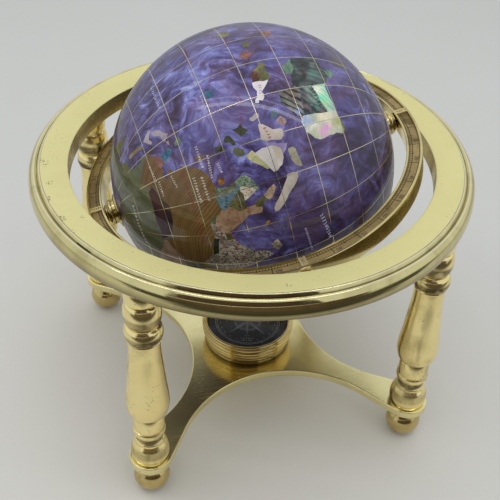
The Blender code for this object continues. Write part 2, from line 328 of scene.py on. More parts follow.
class Brass(Recipe):
    """Lacquered brass with an uneven tone and a fine grain. Each method adds one kind of wear."""

    def __init__(self, name, bright, dull, roughness, wear=0.5, metallic=1.0, grain=0.3):
        super().__init__(name, roughness, metallic)
        self.roughness = roughness
        self.patches = self.noise(26.0, 5.0, 0.6, 0.3)
        self.tone = self.mix(self.ramp(self.patches, [(0.42, 0.0), (0.75, wear)]), bright, dull)
        self.fine = self.noise(1400.0, 2.0)
        self.heights = [(self.fine, 0.000012 * grain)]
        self.worn = 0.0
        self.groove_share = None

    def tint(self, where, code):
        self.tone = self.mix(where, self.tone, code)

    def roughen(self, where, amount):
        self.worn = self.sum(self.worn, self.sum(where, amount, "MULTIPLY"))

    def dent(self, where, depth):
        self.heights.append((self.sum(1.0, where, "SUBTRACT"), depth))

    def stain(self, amount):
        """Brown smudges, drawn out upwards."""
        smudge = self.noise(44.0, 4.0, 0.6, 0.5, self.stretched((1.0, 1.0, 0.45)))
        smudge = self.ramp(smudge, [(0.50, 0.0), (0.66, amount)])
        self.tint(smudge, "7C6A3C")
        self.roughen(smudge, 0.5)

    def pit(self, amount):
        """Small dark pits in groups."""
        holes = self.node("TexVoronoi", [("Vector", self.coords), ("Scale", 420.0), ("Randomness", 1.0)])
        groups = self.ramp(self.noise(60.0, 3.0, 0.6), [(0.52, 0.0), (0.64, amount)])
        spots = self.ramp(holes.outputs["Distance"], [(0.10, 1.0), (0.22, 0.0)])
        pitted = self.sum(spots, groups, "MULTIPLY")
        self.tint(pitted, "4A3A1C")
        self.dent(pitted, 0.00008)

    def mark(self, places):
        """Clusters of black specks on the horizon ring: radius, bearing in degrees and reach of each."""
        close = None
        for radius, bearing, reach in places:
            near = self.sum(1.0, self.share_of_reach((*polar(radius, bearing), RING_TOP), reach), "SUBTRACT")
            close = near if close is None else self.sum(close, near, "MAXIMUM")
        cells = self.node("TexVoronoi", [("Vector", self.warped(700.0, 0.0012)), ("Scale", 900.0)])
        specks = self.ramp(cells.outputs["Distance"], [(0.30, 1.0), (0.46, 0.0)])
        crowded = self.sum(self.noise(260.0, 2.0, 0.6), self.sum(close, 0.22, "MULTIPLY"))
        within = self.ramp(close, [(0.0, 0.0), (0.12, 1.0)])
        bitten = self.sum(self.ramp(crowded, [(0.56, 0.0), (0.61, 1.0)]), within, "MULTIPLY")
        bitten = self.sum(bitten, specks, "MULTIPLY")
        self.tint(bitten, "33290F")
        self.dent(bitten, 0.0001)

    def scratch(self, amount):
        """Three families of long pale scratches, each in its own direction."""
        for turn, part in ((0.35, 1.0), (1.25, 0.7), (2.2, 0.5)):
            lines = self.stretched((14.0, 420.0, 14.0), (0, 0, turn))
            cells = self.node("TexVoronoi", [("Vector", lines), ("Scale", 1.0)], feature="DISTANCE_TO_EDGE")
            line = self.ramp(cells.outputs["Distance"], [(0.0, amount * part), (0.014, 0.0)])
            gate = self.noise(18.0, 2.0, 0.5, 0.0, self.stretched((1, 1, 1), (0, 0, turn * 3)))
            drawn = self.sum(line, self.ramp(gate, [(0.54, 0.0), (0.66, 1.0)]), "MULTIPLY")
            self.tint(drawn, "B9AE84")
            self.roughen(drawn, 0.4)
            self.dent(drawn, 0.00001)

    def off_circle(self, radius):
        """The level distance in metres from a circle round the stand's axis."""
        level = self.vector_sum(self.coords, (1, 1, 0), "MULTIPLY")
        gap = self.sum(self.length_of(level), radius * MM, "SUBTRACT")
        return self.node("Math", [(0, gap)], operation="ABSOLUTE").outputs[0]

    def groove(self, radius, darkness):
        """Grime and painted shade, of uneven width, in a turned groove."""
        width = self.sum(self.patches, 0.0013, "MULTIPLY")
        self.groove_share = self.sum(self.off_circle(radius), width, "DIVIDE")
        self.tint(self.ramp(self.groove_share, [(0.2, darkness), (0.9, 0.0)]), "4E4424")

    def dash(self, radius, bearing, reach):
        """One black dash in the groove that was made last."""
        place = (*polar(radius, bearing), RING_TOP - 2.5)
        close = self.ramp(self.share_of_reach(place, reach), [(0.8, 0.95), (1.0, 0.0)])
        self.tint(self.sum(close, self.ramp(self.groove_share, [(0.2, 1.0), (0.9, 0.0)]), "MULTIPLY"), "1C150C")

    def crest(self, radius, shine):
        """A painted highlight along a turned edge."""
        share = self.sum(self.off_circle(radius), 0.0009, "DIVIDE")
        self.tint(self.ramp(share, [(0.4, shine), (1.0, 0.0)]), "FFF6DC")

    def band(self, bottom, top, darkness):
        """Broken painted shade between two heights in millimetres."""
        level = self.sum(self.along((0, 0, 1)), bottom * MM, "SUBTRACT")
        level = self.sum(level, (top - bottom) * MM, "DIVIDE")
        shaded = self.ramp(level, [(0.0, 0.0), (0.2, darkness), (0.75, darkness), (1.0, 0.0)])
        broken = self.ramp(self.noise(95.0, 4.0, 0.6, 0.4), [(0.36, 0.45), (0.56, 1.0)])
        self.tint(self.sum(shaded, broken, "MULTIPLY"), "4C3E22")

    def darken_below(self, height, code):
        """Painted shade: a darker tone that comes in over the 7.5 mm below a height in millimetres."""
        depth = self.sum(height * MM, self.along((0, 0, 1)), "SUBTRACT")
        self.tint(self.ramp(self.sum(depth, 120.0, "MULTIPLY"), [(0.0, 0.0), (0.9, 0.9)]), code)

    def finished(self):
        self.colour(self.tone)
        spread = self.sum(self.mix(0.5, self.patches, self.fine), self.roughness * 0.6, "MULTIPLY")
        spread = self.sum(self.sum(spread, self.roughness * 0.75), self.worn)
        self.tree.links.new(spread, self.shader.inputs["Roughness"])
        self.bump(self.heights)
        return self.material


def make_brass(name, bright, dull, roughness, wear, metallic=1.0, grain=0.3, stains=0.0, pits=0.0,
               scratches=0.0):
    """Brass with no more than stains, pits and scratches."""
    brass = Brass(name, bright, dull, roughness, wear, metallic, grain)
    for add_wear, amount in ((brass.stain, stains), (brass.pit, pits), (brass.scratch, scratches)):
        if amount:
            add_wear(amount)
    return brass.finished()


# worn spots on the horizon ring's flat: radius, bearing in degrees and reach in millimetres
RING_MARKS = ((157.4, 172, 7), (152.1, 181.4, 3), (157.9, 188.5, 4), (156.3, 197.5, 4.5), (143.9, 199.3, 2.5),
              (142.5, 220.1, 2.5), (157.6, 204, 3), (151.0, 262, 3), (157.8, 20, 3), (156.0, 96, 4))


def make_satin_brass():
    """The wide flat of the horizon ring, with its larger marks where the photo has them."""
    brass = Brass("satin_brass", "DAD294", "CFC586", 0.45, 0.5, 0.3)
    brass.pit(0.5)
    brass.mark(RING_MARKS)
    brass.scratch(0.12)
    return brass.finished()


def make_edge_brass():
    """The moulding of the horizon ring: two grooves with grime and painted shade, painted highlights on two
    crests and painted shade on its lower part.
    """
    brass = Brass("edge_brass", "E2D69C", "C4B67C", 0.07)
    brass.stain(0.26)
    brass.pit(0.4)
    # grime and painted shade in the two grooves
    brass.groove(157.9, 0.6)
    brass.groove(160.8, 0.75)
    # painted highlights along the two crests of the moulding
    brass.crest(158.7, 0.45)
    brass.crest(162.9, 0.45)
    brass.dash(160.9, 209.7, 8.0)
    # painted shade over the lower part of the moulding
    brass.darken_below(222.0, "70613E")
    return brass.finished()


def make_leg_brass():
    """The legs, with painted shade and painted dark reflections between the beads, above the lower ring and on
    the bell.
    """
    brass = Brass("leg_brass", "FFECAA", "F0D88E", 0.17, 0.6)
    brass.stain(0.35)
    brass.pit(1.0)
    # painted shade and painted dark reflections under the beads, in the cove and on the bell
    brass.band(180.6, 191.0, 0.85)
    brass.band(165.8, 173.6, 0.97)
    brass.band(59.0, 67.0, 0.9)
    brass.band(45.0, 53.0, 0.45)
    return brass.finished()


def make_bowl_brass():
    """The compass bowl, with painted shade where it meets the plate."""
    brass = Brass("bowl_brass", "D2BA7C", "A08A50", 0.10, 0.7)
    brass.stain(0.25)
    # painted shade where the bowl meets the plate
    brass.darken_below(46.5, "5A4824")
    return brass.finished()


def make_ink(name, code, roughness=0.5):
    recipe = Recipe(name, roughness)
    grain = recipe.noise(2500.0, 2.0)
    shade = recipe.mix(recipe.ramp(grain, [(0.3, 0.0), (0.7, 0.35)]), code, "2A2620")
    recipe.colour(shade)
    recipe.bump([(grain, 0.000008)])
    return recipe.material


def make_glass():
    recipe = Recipe("clear_glass", 0.02)
    recipe.shader.inputs["Base Color"].default_value = (1, 1, 1, 1)
    recipe.shader.inputs["Transmission Weight"].default_value = 1.0
    recipe.shader.inputs["IOR"].default_value = 1.45
    smears = recipe.noise(90.0, 3.0, 0.6, 0.4)
    recipe.rough(smears, 0.0, 0.06)
    return recipe.material


# ---------------------------------------------------------------- the brass stand


def leg_profile():
    """The turned leg from its top to its foot: collar, two beads, vase, neck, ring, cove and bell."""
    collar = [(0, 211.6), (11.0, 211.6)]
    collar += smooth_run([(11.3, 211.2), (12.0, 208.6), (12.2, 205.2), (11.9, 202.2), (10.9, 200.0)])
    upper_bead = [(10.7, 199.2), (12.0, 197.4), (13.1, 193.8), (13.4, 189.6), (13.0, 184.8), (11.9, 181.2)]
    upper_bead = smooth_run([*upper_bead, (10.9, 179.2)], 5)
    lower_bead = [(11.0, 178.4), (12.8, 176.4), (13.7, 173.0), (13.7, 169.6), (13.0, 166.9), (12.1, 165.6)]
    lower_bead = smooth_run(lower_bead, 6)
    lip = smooth_run([(12.3, 165.2), (12.5, 164.4), (12.1, 163.5), (11.4, 163.0)], 3)
    vase = [(11.5, 161), (11.8, 150), (12.9, 137), (14.3, 121), (15.6, 109), (16.2, 101), (15.9, 96)]
    vase = smooth_run([*vase, (14.7, 91), (12.6, 88.2)], 5)
    neck = [(11.5, 87.9), (11.6, 87.4), (11.9, 87.0), (11.9, 73.0), (11.3, 72.6), (11.2, 72.0)]
    ring = smooth_run([(11.9, 71.7), (12.5, 70.2), (12.5, 68.0), (12.0, 66.5)], 3)
    cove = smooth_run([(11.0, 66.1), (10.1, 64.6), (9.9, 62.2), (10.3, 59.9), (11.0, 59.2)], 4)
    foot_lip = smooth_run([(11.3, 58.6), (11.6, 57.4), (11.2, 56.2)], 3)
    bell = smooth_run([(11.7, 55.4), (13.4, 52.5), (14.7, 47.5), (14.9, 43.5), (14.5, 40.2), (14.1, 38.4)], 5)
    bottom = PLATE_TOP + GAP
    return collar + upper_bead + lower_bead + lip + vase + neck + ring + cove + foot_lip + bell + [(0, bottom)]


def foot_profile():
    """A ball on a short neck, with the small flat that it stands on."""
    ball = 14.2
    centre = 13.9
    neck = 8.5
    top = PLATE_BOTTOM - GAP
    start = 90 - degrees(asin(neck / ball))
    end = -90 + degrees(asin(sqrt(ball**2 - centre**2) / ball))
    run = arc_run((0, centre), ball, start, end, 26)
    return [(0, top), (neck, top), (neck, run[0][1] + 0.4), *run, (0, run[-1][1])]


def build_legs(leg_brass, foot_brass):
    for name, bearing in (("back_right", 45), ("back_left", 135), ("front_left", 225), ("front_right", 315)):
        to_place = Matrix.Translation((*polar(LEG_CIRCLE, bearing), 0))
        leg = moved(turned(leg_profile(), 72), to_place)
        add_piece("turned_leg_" + name, *leg, leg_brass, "stand", "lacquered_brass", ["leg_" + name])
        foot = moved(turned(foot_profile(), 64), to_place)
        add_piece("ball_" + name, *foot, foot_brass, "stand", "lacquered_brass", ["ball_foot_" + name])


def plate_outline(inset):
    """The plate's outline: four scoops between four lobes, moved inwards by an inset."""
    hub = 51.0
    scoop_radius = 92.0
    lobe_radius = 16.7
    scoop = scoop_radius + inset
    lobe = lobe_radius - inset
    scoop_centre = hub + scoop_radius
    across = LEG_CIRCLE * sqrt(0.5)
    bearing = atan2(across, across - scoop_centre)
    apart = hypot(across - scoop_centre, across)
    # the tangent's direction doesn't change with the inset, because both radii move together
    half_scoop = pi - bearing - np.arccos((scoop + lobe) / apart)
    half_lobe = pi / 4 + half_scoop
    points = []
    for quarter in range(4):
        axis = quarter * pi / 2
        points += arc_points(scoop_centre, axis, scoop, pi + half_scoop, pi - half_scoop, 33)
        points += arc_points(LEG_CIRCLE, axis + pi / 4, lobe, -half_lobe, half_lobe, 21)
    return points


def arc_points(distance, bearing, radius, start, end, count):
    """An arc about a centre at a distance and bearing, from a start to an end angle off that bearing."""
    points = []
    for index in range(count):
        angle = bearing + start + (end - start) * index / (count - 1)
        x = distance * cos(bearing) + radius * cos(angle)
        y = distance * sin(bearing) + radius * sin(angle)
        points.append((x, y))
    return points


def build_plate(brass):
    """The polished cross, with a small rounded arris above and below."""
    rounding = 0.9
    rounding_steps = 3
    levels = []
    for step in range(rounding_steps + 1):
        angle = pi / 2 * step / rounding_steps
        levels.append((rounding * (1 - sin(angle)), PLATE_BOTTOM + rounding * (1 - cos(angle))))
    levels += [(inset, PLATE_TOP + PLATE_BOTTOM - height) for inset, height in levels[::-1]]
    verts = []
    for inset, height in levels:
        verts += [(x, y, height) for x, y in plate_outline(inset)]
    count = len(plate_outline(0))
    faces = [list(range(count))[::-1], [count * (len(levels) - 1) + index for index in range(count)]]
    for level in range(len(levels) - 1):
        for index in range(count):
            after = (index + 1) % count
            low = level * count
            faces.append([low + index, low + after, low + count + after, low + count + index])
    # flat normals below and above, and smooth ones round the edge
    normals = [(0, 0, -1)] * count + [(0, 0, 1)] * count + [(0, 0, 0)] * (4 * count * (len(levels) - 1))
    add_piece("cross_plate", verts, faces, brass, "stand", "lacquered_brass", ["base_plate"], sharp=50,
              loop_normals=normals)


def build_horizon_ring(flat_brass, edge_brass, wall_brass):
    """The wide satin flat, and the polished moulding round it: grooves, a bead and a large rounded edge."""
    flat = [(138.0, 3.1), (138.2, 2.7), (138.7, 2.46), (139.2, 2.39), (156.8, 0.10), (157.3, 0.04)]
    flat += [(157.6, 0.05), (158.0, 0.35)]
    first_bead = [(158.05, 0.62), (158.4, 0.42), (158.9, 0.5), (159.5, 1.0), (160.1, 1.8), (160.6, 2.55)]
    second_bead = [(160.8, 2.75), (161.3, 2.7), (161.8, 2.35)]
    edge_top = [(162.0, 2.15), (162.8, 2.0), (163.8, 2.4), (165.1, 3.6), (166.4, 5.5), (167.2, 8.2)]
    edge_side = [(167.2, 8.2), (167.5, 11.2), (167.3, 13.9), (166.6, 16.2), (165.3, 17.8), (163.4, 18.5)]
    moulding = smooth_run(first_bead, 4) + smooth_run(second_bead, 3)
    moulding += smooth_run(edge_top, 5)[:-1] + smooth_run(edge_side, 5)
    under = [(160.0, 18.5), (140.0, 18.5), (138.6, 18.3), (138.0, 17.7)]
    profile = [(radius, RING_TOP - depth) for radius, depth in flat + moulding + under]
    ring = add_piece("moulded_ring", *turned(profile, RING_STEPS), flat_brass, "stand", "lacquered_brass",
                     ["horizon_ring"], sharp=28)
    paint_rows(ring, edge_brass, range(len(flat) - 1, len(profile) - 1))
    paint_rows(ring, wall_brass, [len(profile) - 1])


def paint_rows(ring, material, rows):
    """Gives some rows of a turned ring's faces another material."""
    ring.data.materials.append(material)
    for index, polygon in enumerate(ring.data.polygons):
        if index // RING_STEPS in rows:
            polygon.material_index = len(ring.data.materials) - 1


def build_gimbal_pivots(brass):
    """A round bead between the two rings, on a pin that reaches into both."""
    near = SCALE_OUTER + 0.5
    far = HORIZON_INNER - 0.35
    bead = [(PIN_RADIUS, far), (3.2, far), *arc_run((0, (near + far) / 2), 5.2, 52, -52, 15)]
    bead += [(3.2, near), (PIN_RADIUS, near)]
    profile = [(0, far + PIN_REACH), (PIN_RADIUS, far + PIN_REACH), *bead]
    profile += [(PIN_RADIUS, near - PIN_REACH), (0, near - PIN_REACH)]
    for side, name in ((-1, "gimbal_pivot_front"), (1, "gimbal_pivot_back")):
        to_place = Matrix.Translation(CENTRE) @ Matrix.Rotation(-side * pi / 2, 4, "X")
        add_piece(name + "_bead", *turned(profile, 40), brass, "stand", "lacquered_brass", [name], to_place)


def build_pole_pivots(brass):
    """A thin cap over each pole, a wide and a narrow bead, and the pin."""
    far = SCALE_INNER - 0.4
    cap = 13.0
    seat = GLOBE_RADIUS + GAP
    rim = sqrt(seat**2 - cap**2)
    under = [(radius, sqrt(seat**2 - radius**2)) for radius in (cap, 9.0, 5.0, PIN_RADIUS)]
    dome = smooth_run([(9.3, GLOBE_RADIUS + 1.4), (10.6, GLOBE_RADIUS + 1.2), (11.8, GLOBE_RADIUS + 0.7)], 3)
    wide = arc_run((7.0, far - 4.4), 2.7, 66, -40, 10)
    narrow = arc_run((5.4, far - 1.3), 1.3, 78, -50, 8)
    pin_top = [(0, far + PIN_REACH), (PIN_RADIUS, far + PIN_REACH), (PIN_RADIUS, far)]
    pin_foot = [(PIN_RADIUS, GLOBE_RADIUS - 8.5), (0, GLOBE_RADIUS - 8.5)]
    profile = [*pin_top, *narrow, *wide, *dome, (12.6, rim + 0.45), *under, *pin_foot]
    for side, name in ((-1, "pole_pivot_north"), (1, "pole_pivot_south")):
        to_place = TO_RING @ Matrix.Rotation(side * pi / 2, 4, "Y")
        shape = turned(profile, 56)
        add_piece(name + "_cap", *shape, brass, "tilting_ring", "lacquered_brass", [name], to_place)


def build_graduated_ring(lip_brass, channel_brass, bar_brass, ink):
    """The antique ring: polished lips, a sunk scale channel, four raised bars, degree marks and numbers."""
    outer = SCALE_OUTER
    inner = SCALE_INNER
    top = SCALE_HALF
    sunk = top - 1.3
    arris = 0.35
    outside = [(outer - 1.5, top), (outer - arris, top), (outer, top - arris), (outer, -top + arris)]
    below = [(outer - arris, -top), (inner + arris, -top), (inner, -top + arris), (inner, top - arris)]
    inside_lip = [(inner + arris, top), (inner + 1.5, top), (inner + 1.75, top - 0.3), (inner + 1.9, sunk)]
    outside_lip = [(outer - 1.9, sunk), (outer - 1.75, top - 0.3)]
    profile = outside + below + inside_lip + outside_lip
    ring = add_piece("scale_ring", *turned(profile, RING_STEPS), lip_brass, "tilting_ring", "antique_brass",
                     ["graduated_ring"], TO_RING)
    paint_rows(ring, channel_brass, [len(outside + below + inside_lip) - 1])

    bars = []
    for turn in QUARTERS:
        for left, right, height in ((-2.45, -1.2, top + 0.05), (-1.2, 1.2, top - 0.3), (1.2, 2.45, top + 0.05)):
            ends = [(inner + 1.3, left), (outer - 1.3, left), (outer - 1.3, right), (inner + 1.3, right)]
            bars.append(moved(prism(ends, sunk - 0.4, height), turn))
    add_piece("scale_bars", *joined(bars), bar_brass, "tilting_ring", "antique_brass", (), TO_RING)

    low = sunk - 0.1
    high = sunk + 0.03
    lane = inner + 4.3
    circles = ((lane, 0.50), (inner + 2.3, 0.40), (outer - 2.3, 0.36))
    marks = [flat_ring(radius, width, low, high) for radius, width in circles]
    for degree in range(360):
        if degree % 90 in (0, 1, 89):
            continue
        reach = outer - 2.4 if degree % 10 == 0 else lane + 1.1 if degree % 5 == 0 else lane
        width = 0.62 if degree % 5 == 0 else 0.42
        marks.append(bar(polar(inner + 2.4, degree), polar(reach, degree), width, low, high))
    for turn in QUARTERS:
        for reach, half in ((3.4, 1.0), (5.0, 0.8), (6.6, 0.5)):
            step = bar((inner + reach, -half), (inner + reach, half), 0.4, top - 0.35, top - 0.25)
            marks.append(moved(step, turn))
    for degree in range(0, 360, 10):
        if degree % 90 == 0:
            continue
        number = str(min(degree % 180, 180 - degree % 180))
        bearing = degree + 2.1
        x, y = polar((lane + outer - 1.6) / 2, bearing)
        to_mark = Matrix.Translation((x, y, sunk)) @ Matrix.Rotation(radians(bearing - 90), 4, "Z")
        marks.append(moved(number_mesh(number, 4.3), to_mark))
    add_piece("scale_marks", *joined(marks), ink, "tilting_ring", "antique_brass", (), TO_RING)


def number_mesh(text, size):
    """A plain number as a thin solid, in millimetres, centred on its own origin."""
    curve = bpy.data.curves.new("number", "FONT")
    curve.body = text
    curve.size = size
    curve.align_x = "CENTER"
    curve.align_y = "CENTER"
    curve.extrude = 0.03
    curve.resolution_u = 3
    item = bpy.data.objects.new("number", curve)
    mesh = bpy.data.meshes.new_from_object(item)
    verts = [tuple(v.co) for v in mesh.vertices]
    faces = [list(polygon.vertices) for polygon in mesh.polygons]
    bpy.data.objects.remove(item)
    bpy.data.curves.remove(curve)
    bpy.data.meshes.remove(mesh)
    return welded(verts, faces)


def welded(verts, faces):
    """The same shape with vertices in one place joined."""
    places = {}
    index_of = []
    for v in verts:
        key = tuple(round(value, 4) for value in v)
        index_of.append(places.setdefault(key, len(places)))
    kept = []
    for face in faces:
        face = [index_of[index] for index in face]
        face = [v for place, v in enumerate(face) if v != face[place - 1]]
        if len(face) > 2:
            kept.append(face)
    return list(places), kept


# ---------------------------------------------------------------- the compass


# the printed rose as the card comes to rest, in degrees
DIAL_TURN = -18.0
CARD_TOP = 54.3


def build_compass_case(brass, glass):
    """A bowl with a pivot post in its floor, the stepped bezel and the glass under it."""
    foot = PLATE_TOP + GAP
    outside = [(35.0, 56.0), (38.1, 56.0), (38.1, 54.2)]
    outside += smooth_run([(38.2, 54.1), (39.0, 53.4), (39.3, 52.2), (39.0, 51.0), (38.2, 50.4)], 4)
    outside += smooth_run([(38.0, 50.2), (38.6, 49.4), (38.6, 48.0), (38.0, 46.9), (37.0, 46.3)], 4)
    outside += smooth_run([(36.9, 46.0), (37.4, 45.0), (37.2, 43.4), (36.4, 42.2), (35.6, 41.8)], 4)
    outside += smooth_run([(35.8, 41.5), (36.7, 40.8), (37.1, 39.8), (36.8, 38.9), (36.3, foot)], 4)
    post = [(0, 52.6), (1.2, 50.4), (1.6, 44.5), (3.0, 43.5)]
    hollow = [(31.4, 43.5), (32.6, 44.3), (34.6, 47.5), (35.0, 49.0)]
    bowl = turned([*post, *hollow, *outside, (0, foot)], 128)
    add_piece("compass_bowl", *bowl, brass, "stand", "lacquered_brass", ["compass_housing"], TO_COMPASS, 28)

    bezel = smooth_run([(37.6, 59.8), (38.1, 59.2), (38.3, 58.6), (38.9, 58.4), (39.4, 57.6)], 4)
    bezel += smooth_run([(39.5, 57.0), (39.45, 56.0), (39.0, 55.0), (38.5, 54.5)], 4)
    bezel += [(38.4, 54.5), (38.4, 56.3), (36.9, 56.3), (36.9, 58.2), (35.6, 58.2), (35.5, 58.4)]
    bezel += smooth_run([(35.6, 59.2), (36.1, 59.8), (36.6, 60.0)], 3)
    rim = turned([(36.9, 60.0), *bezel], 128)
    add_piece("compass_rim", *rim, brass, "stand", "lacquered_brass", ["compass_bezel"], TO_COMPASS, 40)

    lens = turned([(0, 57.9), (36.4, 57.9), (36.6, 57.7), (36.6, 56.5), (36.4, 56.3), (0, 56.3)], 96)
    add_piece("compass_lens", *lens, glass, "stand", "clear_glass", ["compass_glass"], TO_COMPASS)


def build_compass_card(face, print_ink, rim_ink):
    """The turning card: a dark disc on a small hub, with a blue rim and a printed rose."""
    disc = [(0, CARD_TOP), (33.8, CARD_TOP), (34.0, CARD_TOP - 0.2), (34.0, 53.5)]
    hub = [(3.5, 53.5), (3.0, 51.0), (1.6, 51.0), (0, 53.2)]
    dial = turned(disc + hub, 96)
    add_piece("compass_dial", *dial, face, "card", "printed_card", ["compass_card"], TO_COMPASS)
    low = CARD_TOP - 0.2
    high = CARD_TOP + 0.04
    blue = flat_ring(32.6, 2.2, low, CARD_TOP + 0.02)
    add_piece("dial_blue_rim", *blue, rim_ink, "card", "printed_card", (), TO_COMPASS)

    marks = [flat_ring(radius, 0.34, low, high) for radius in (27.9, 26.4)]
    marks += [flat_ring(radius, 0.34, low, high, 96) for radius in (11.4, 10.2)]
    strokes = ring_of_ticks() + rose_strokes() + ring_of_pairs()
    marks += [bar(start, end, width, low, high) for start, end, width in strokes]
    marks.append(turned([(0, high + 0.2), (1.6, high + 0.1), (1.9, low), (0, low)], 32))
    marks += [bar(start, end, width, low, high) for start, end, width in stroke_rows()]
    turn = Matrix.Rotation(radians(DIAL_TURN), 4, "Z")
    marks = [moved(mark, turn) for mark in marks]
    add_piece("dial_marks", *joined(marks), print_ink, "card", "printed_card", (), TO_COMPASS)


def ring_of_ticks():
    """A tick every 5 degrees, longer every 15, as start, end and width."""
    return [(polar(27.8, a), polar(26.5 if a % 15 else 25.4, a), 0.28) for a in range(0, 360, 5)]


def rose_strokes():
    """Eight narrow darts with a stroke up the middle, and three short strokes beyond each tip."""
    strokes = []
    for index in range(8):
        a = 45 * index
        tip, wide, width = (21.0, 22.0, 0.60) if index % 2 else (15.6, 16.0, 0.44)
        strokes += [(polar(tip, a), polar(3.2, a + side * wide), 0.34) for side in (-1, 1)]
        strokes.append((polar(1.5, a), polar(tip + 0.4, a), width))
        for offset in (-3.6, 0, 3.6):
            end = polar(18.9 - abs(offset) * 0.2, a + offset * 1.4)
            strokes.append((polar(17.4, a + offset), end, 0.42))
    return strokes


def ring_of_pairs():
    """Twenty-four pairs of short strokes between the two circles."""
    strokes = []
    for index in range(24):
        a = index * 15 + 7.5
        strokes.append((polar(23.2, a - 1.2), polar(24.6, a - 0.9), 0.36))
        strokes.append((polar(23.2, a + 1.2), polar(24.4, a + 1.4), 0.36))
    return strokes


def stroke_rows():
    """Two rows of small upright strokes, none of them a letter, where the card has a word."""
    strokes = []
    for row, count in ((-20.9, 9), (-23.4, 7)):
        for index in range(count):
            x = (index - (count - 1) / 2) * 1.4
            half = (0.9 + 0.4 * ((index * 7) % 3)) / 2
            lean = 0.2 * ((index * 5) % 3 - 1)
            strokes.append(((x - lean, row - half), (x + lean, row + half), 0.44))
    return strokes


# ---------------------------------------------------------------- the map of stones


NORTH = np.array(-SPIN_AXIS)
RING_NORMAL = np.array((-sin(TILT), 0, cos(TILT)))
ACROSS = np.cross(NORTH, RING_NORMAL)
MIDDLE = np.array(CENTRE)
# the globe is turned so that this many degrees of longitude lie between the ring's normal and Greenwich
GREENWICH = radians(196.1)
LON_ZERO = cos(GREENWICH) * RING_NORMAL + sin(GREENWICH) * ACROSS
LON_NINETY = np.cross(NORTH, LON_ZERO)
# the map's borders and the spacing of its grid, in degrees
WEST = -169.0
EAST = 191.0
POLE_HOLE = 88.0
GRID = 3.0
OUTLINE_SEED = 7
WIRE_SPACING = 15
# the ocean's place in the list of stones
OCEAN = 0
# a scrap of land smaller than this, in square millimetres, goes to its neighbour
SCRAP_AREA = 14.0
STONE_DEPTH = 1.2


def outline(text):
    """Longitude and latitude pairs from a line such as '25,71 31,70'."""
    return [tuple(float(part) for part in pair.split(",")) for pair in text.split()]


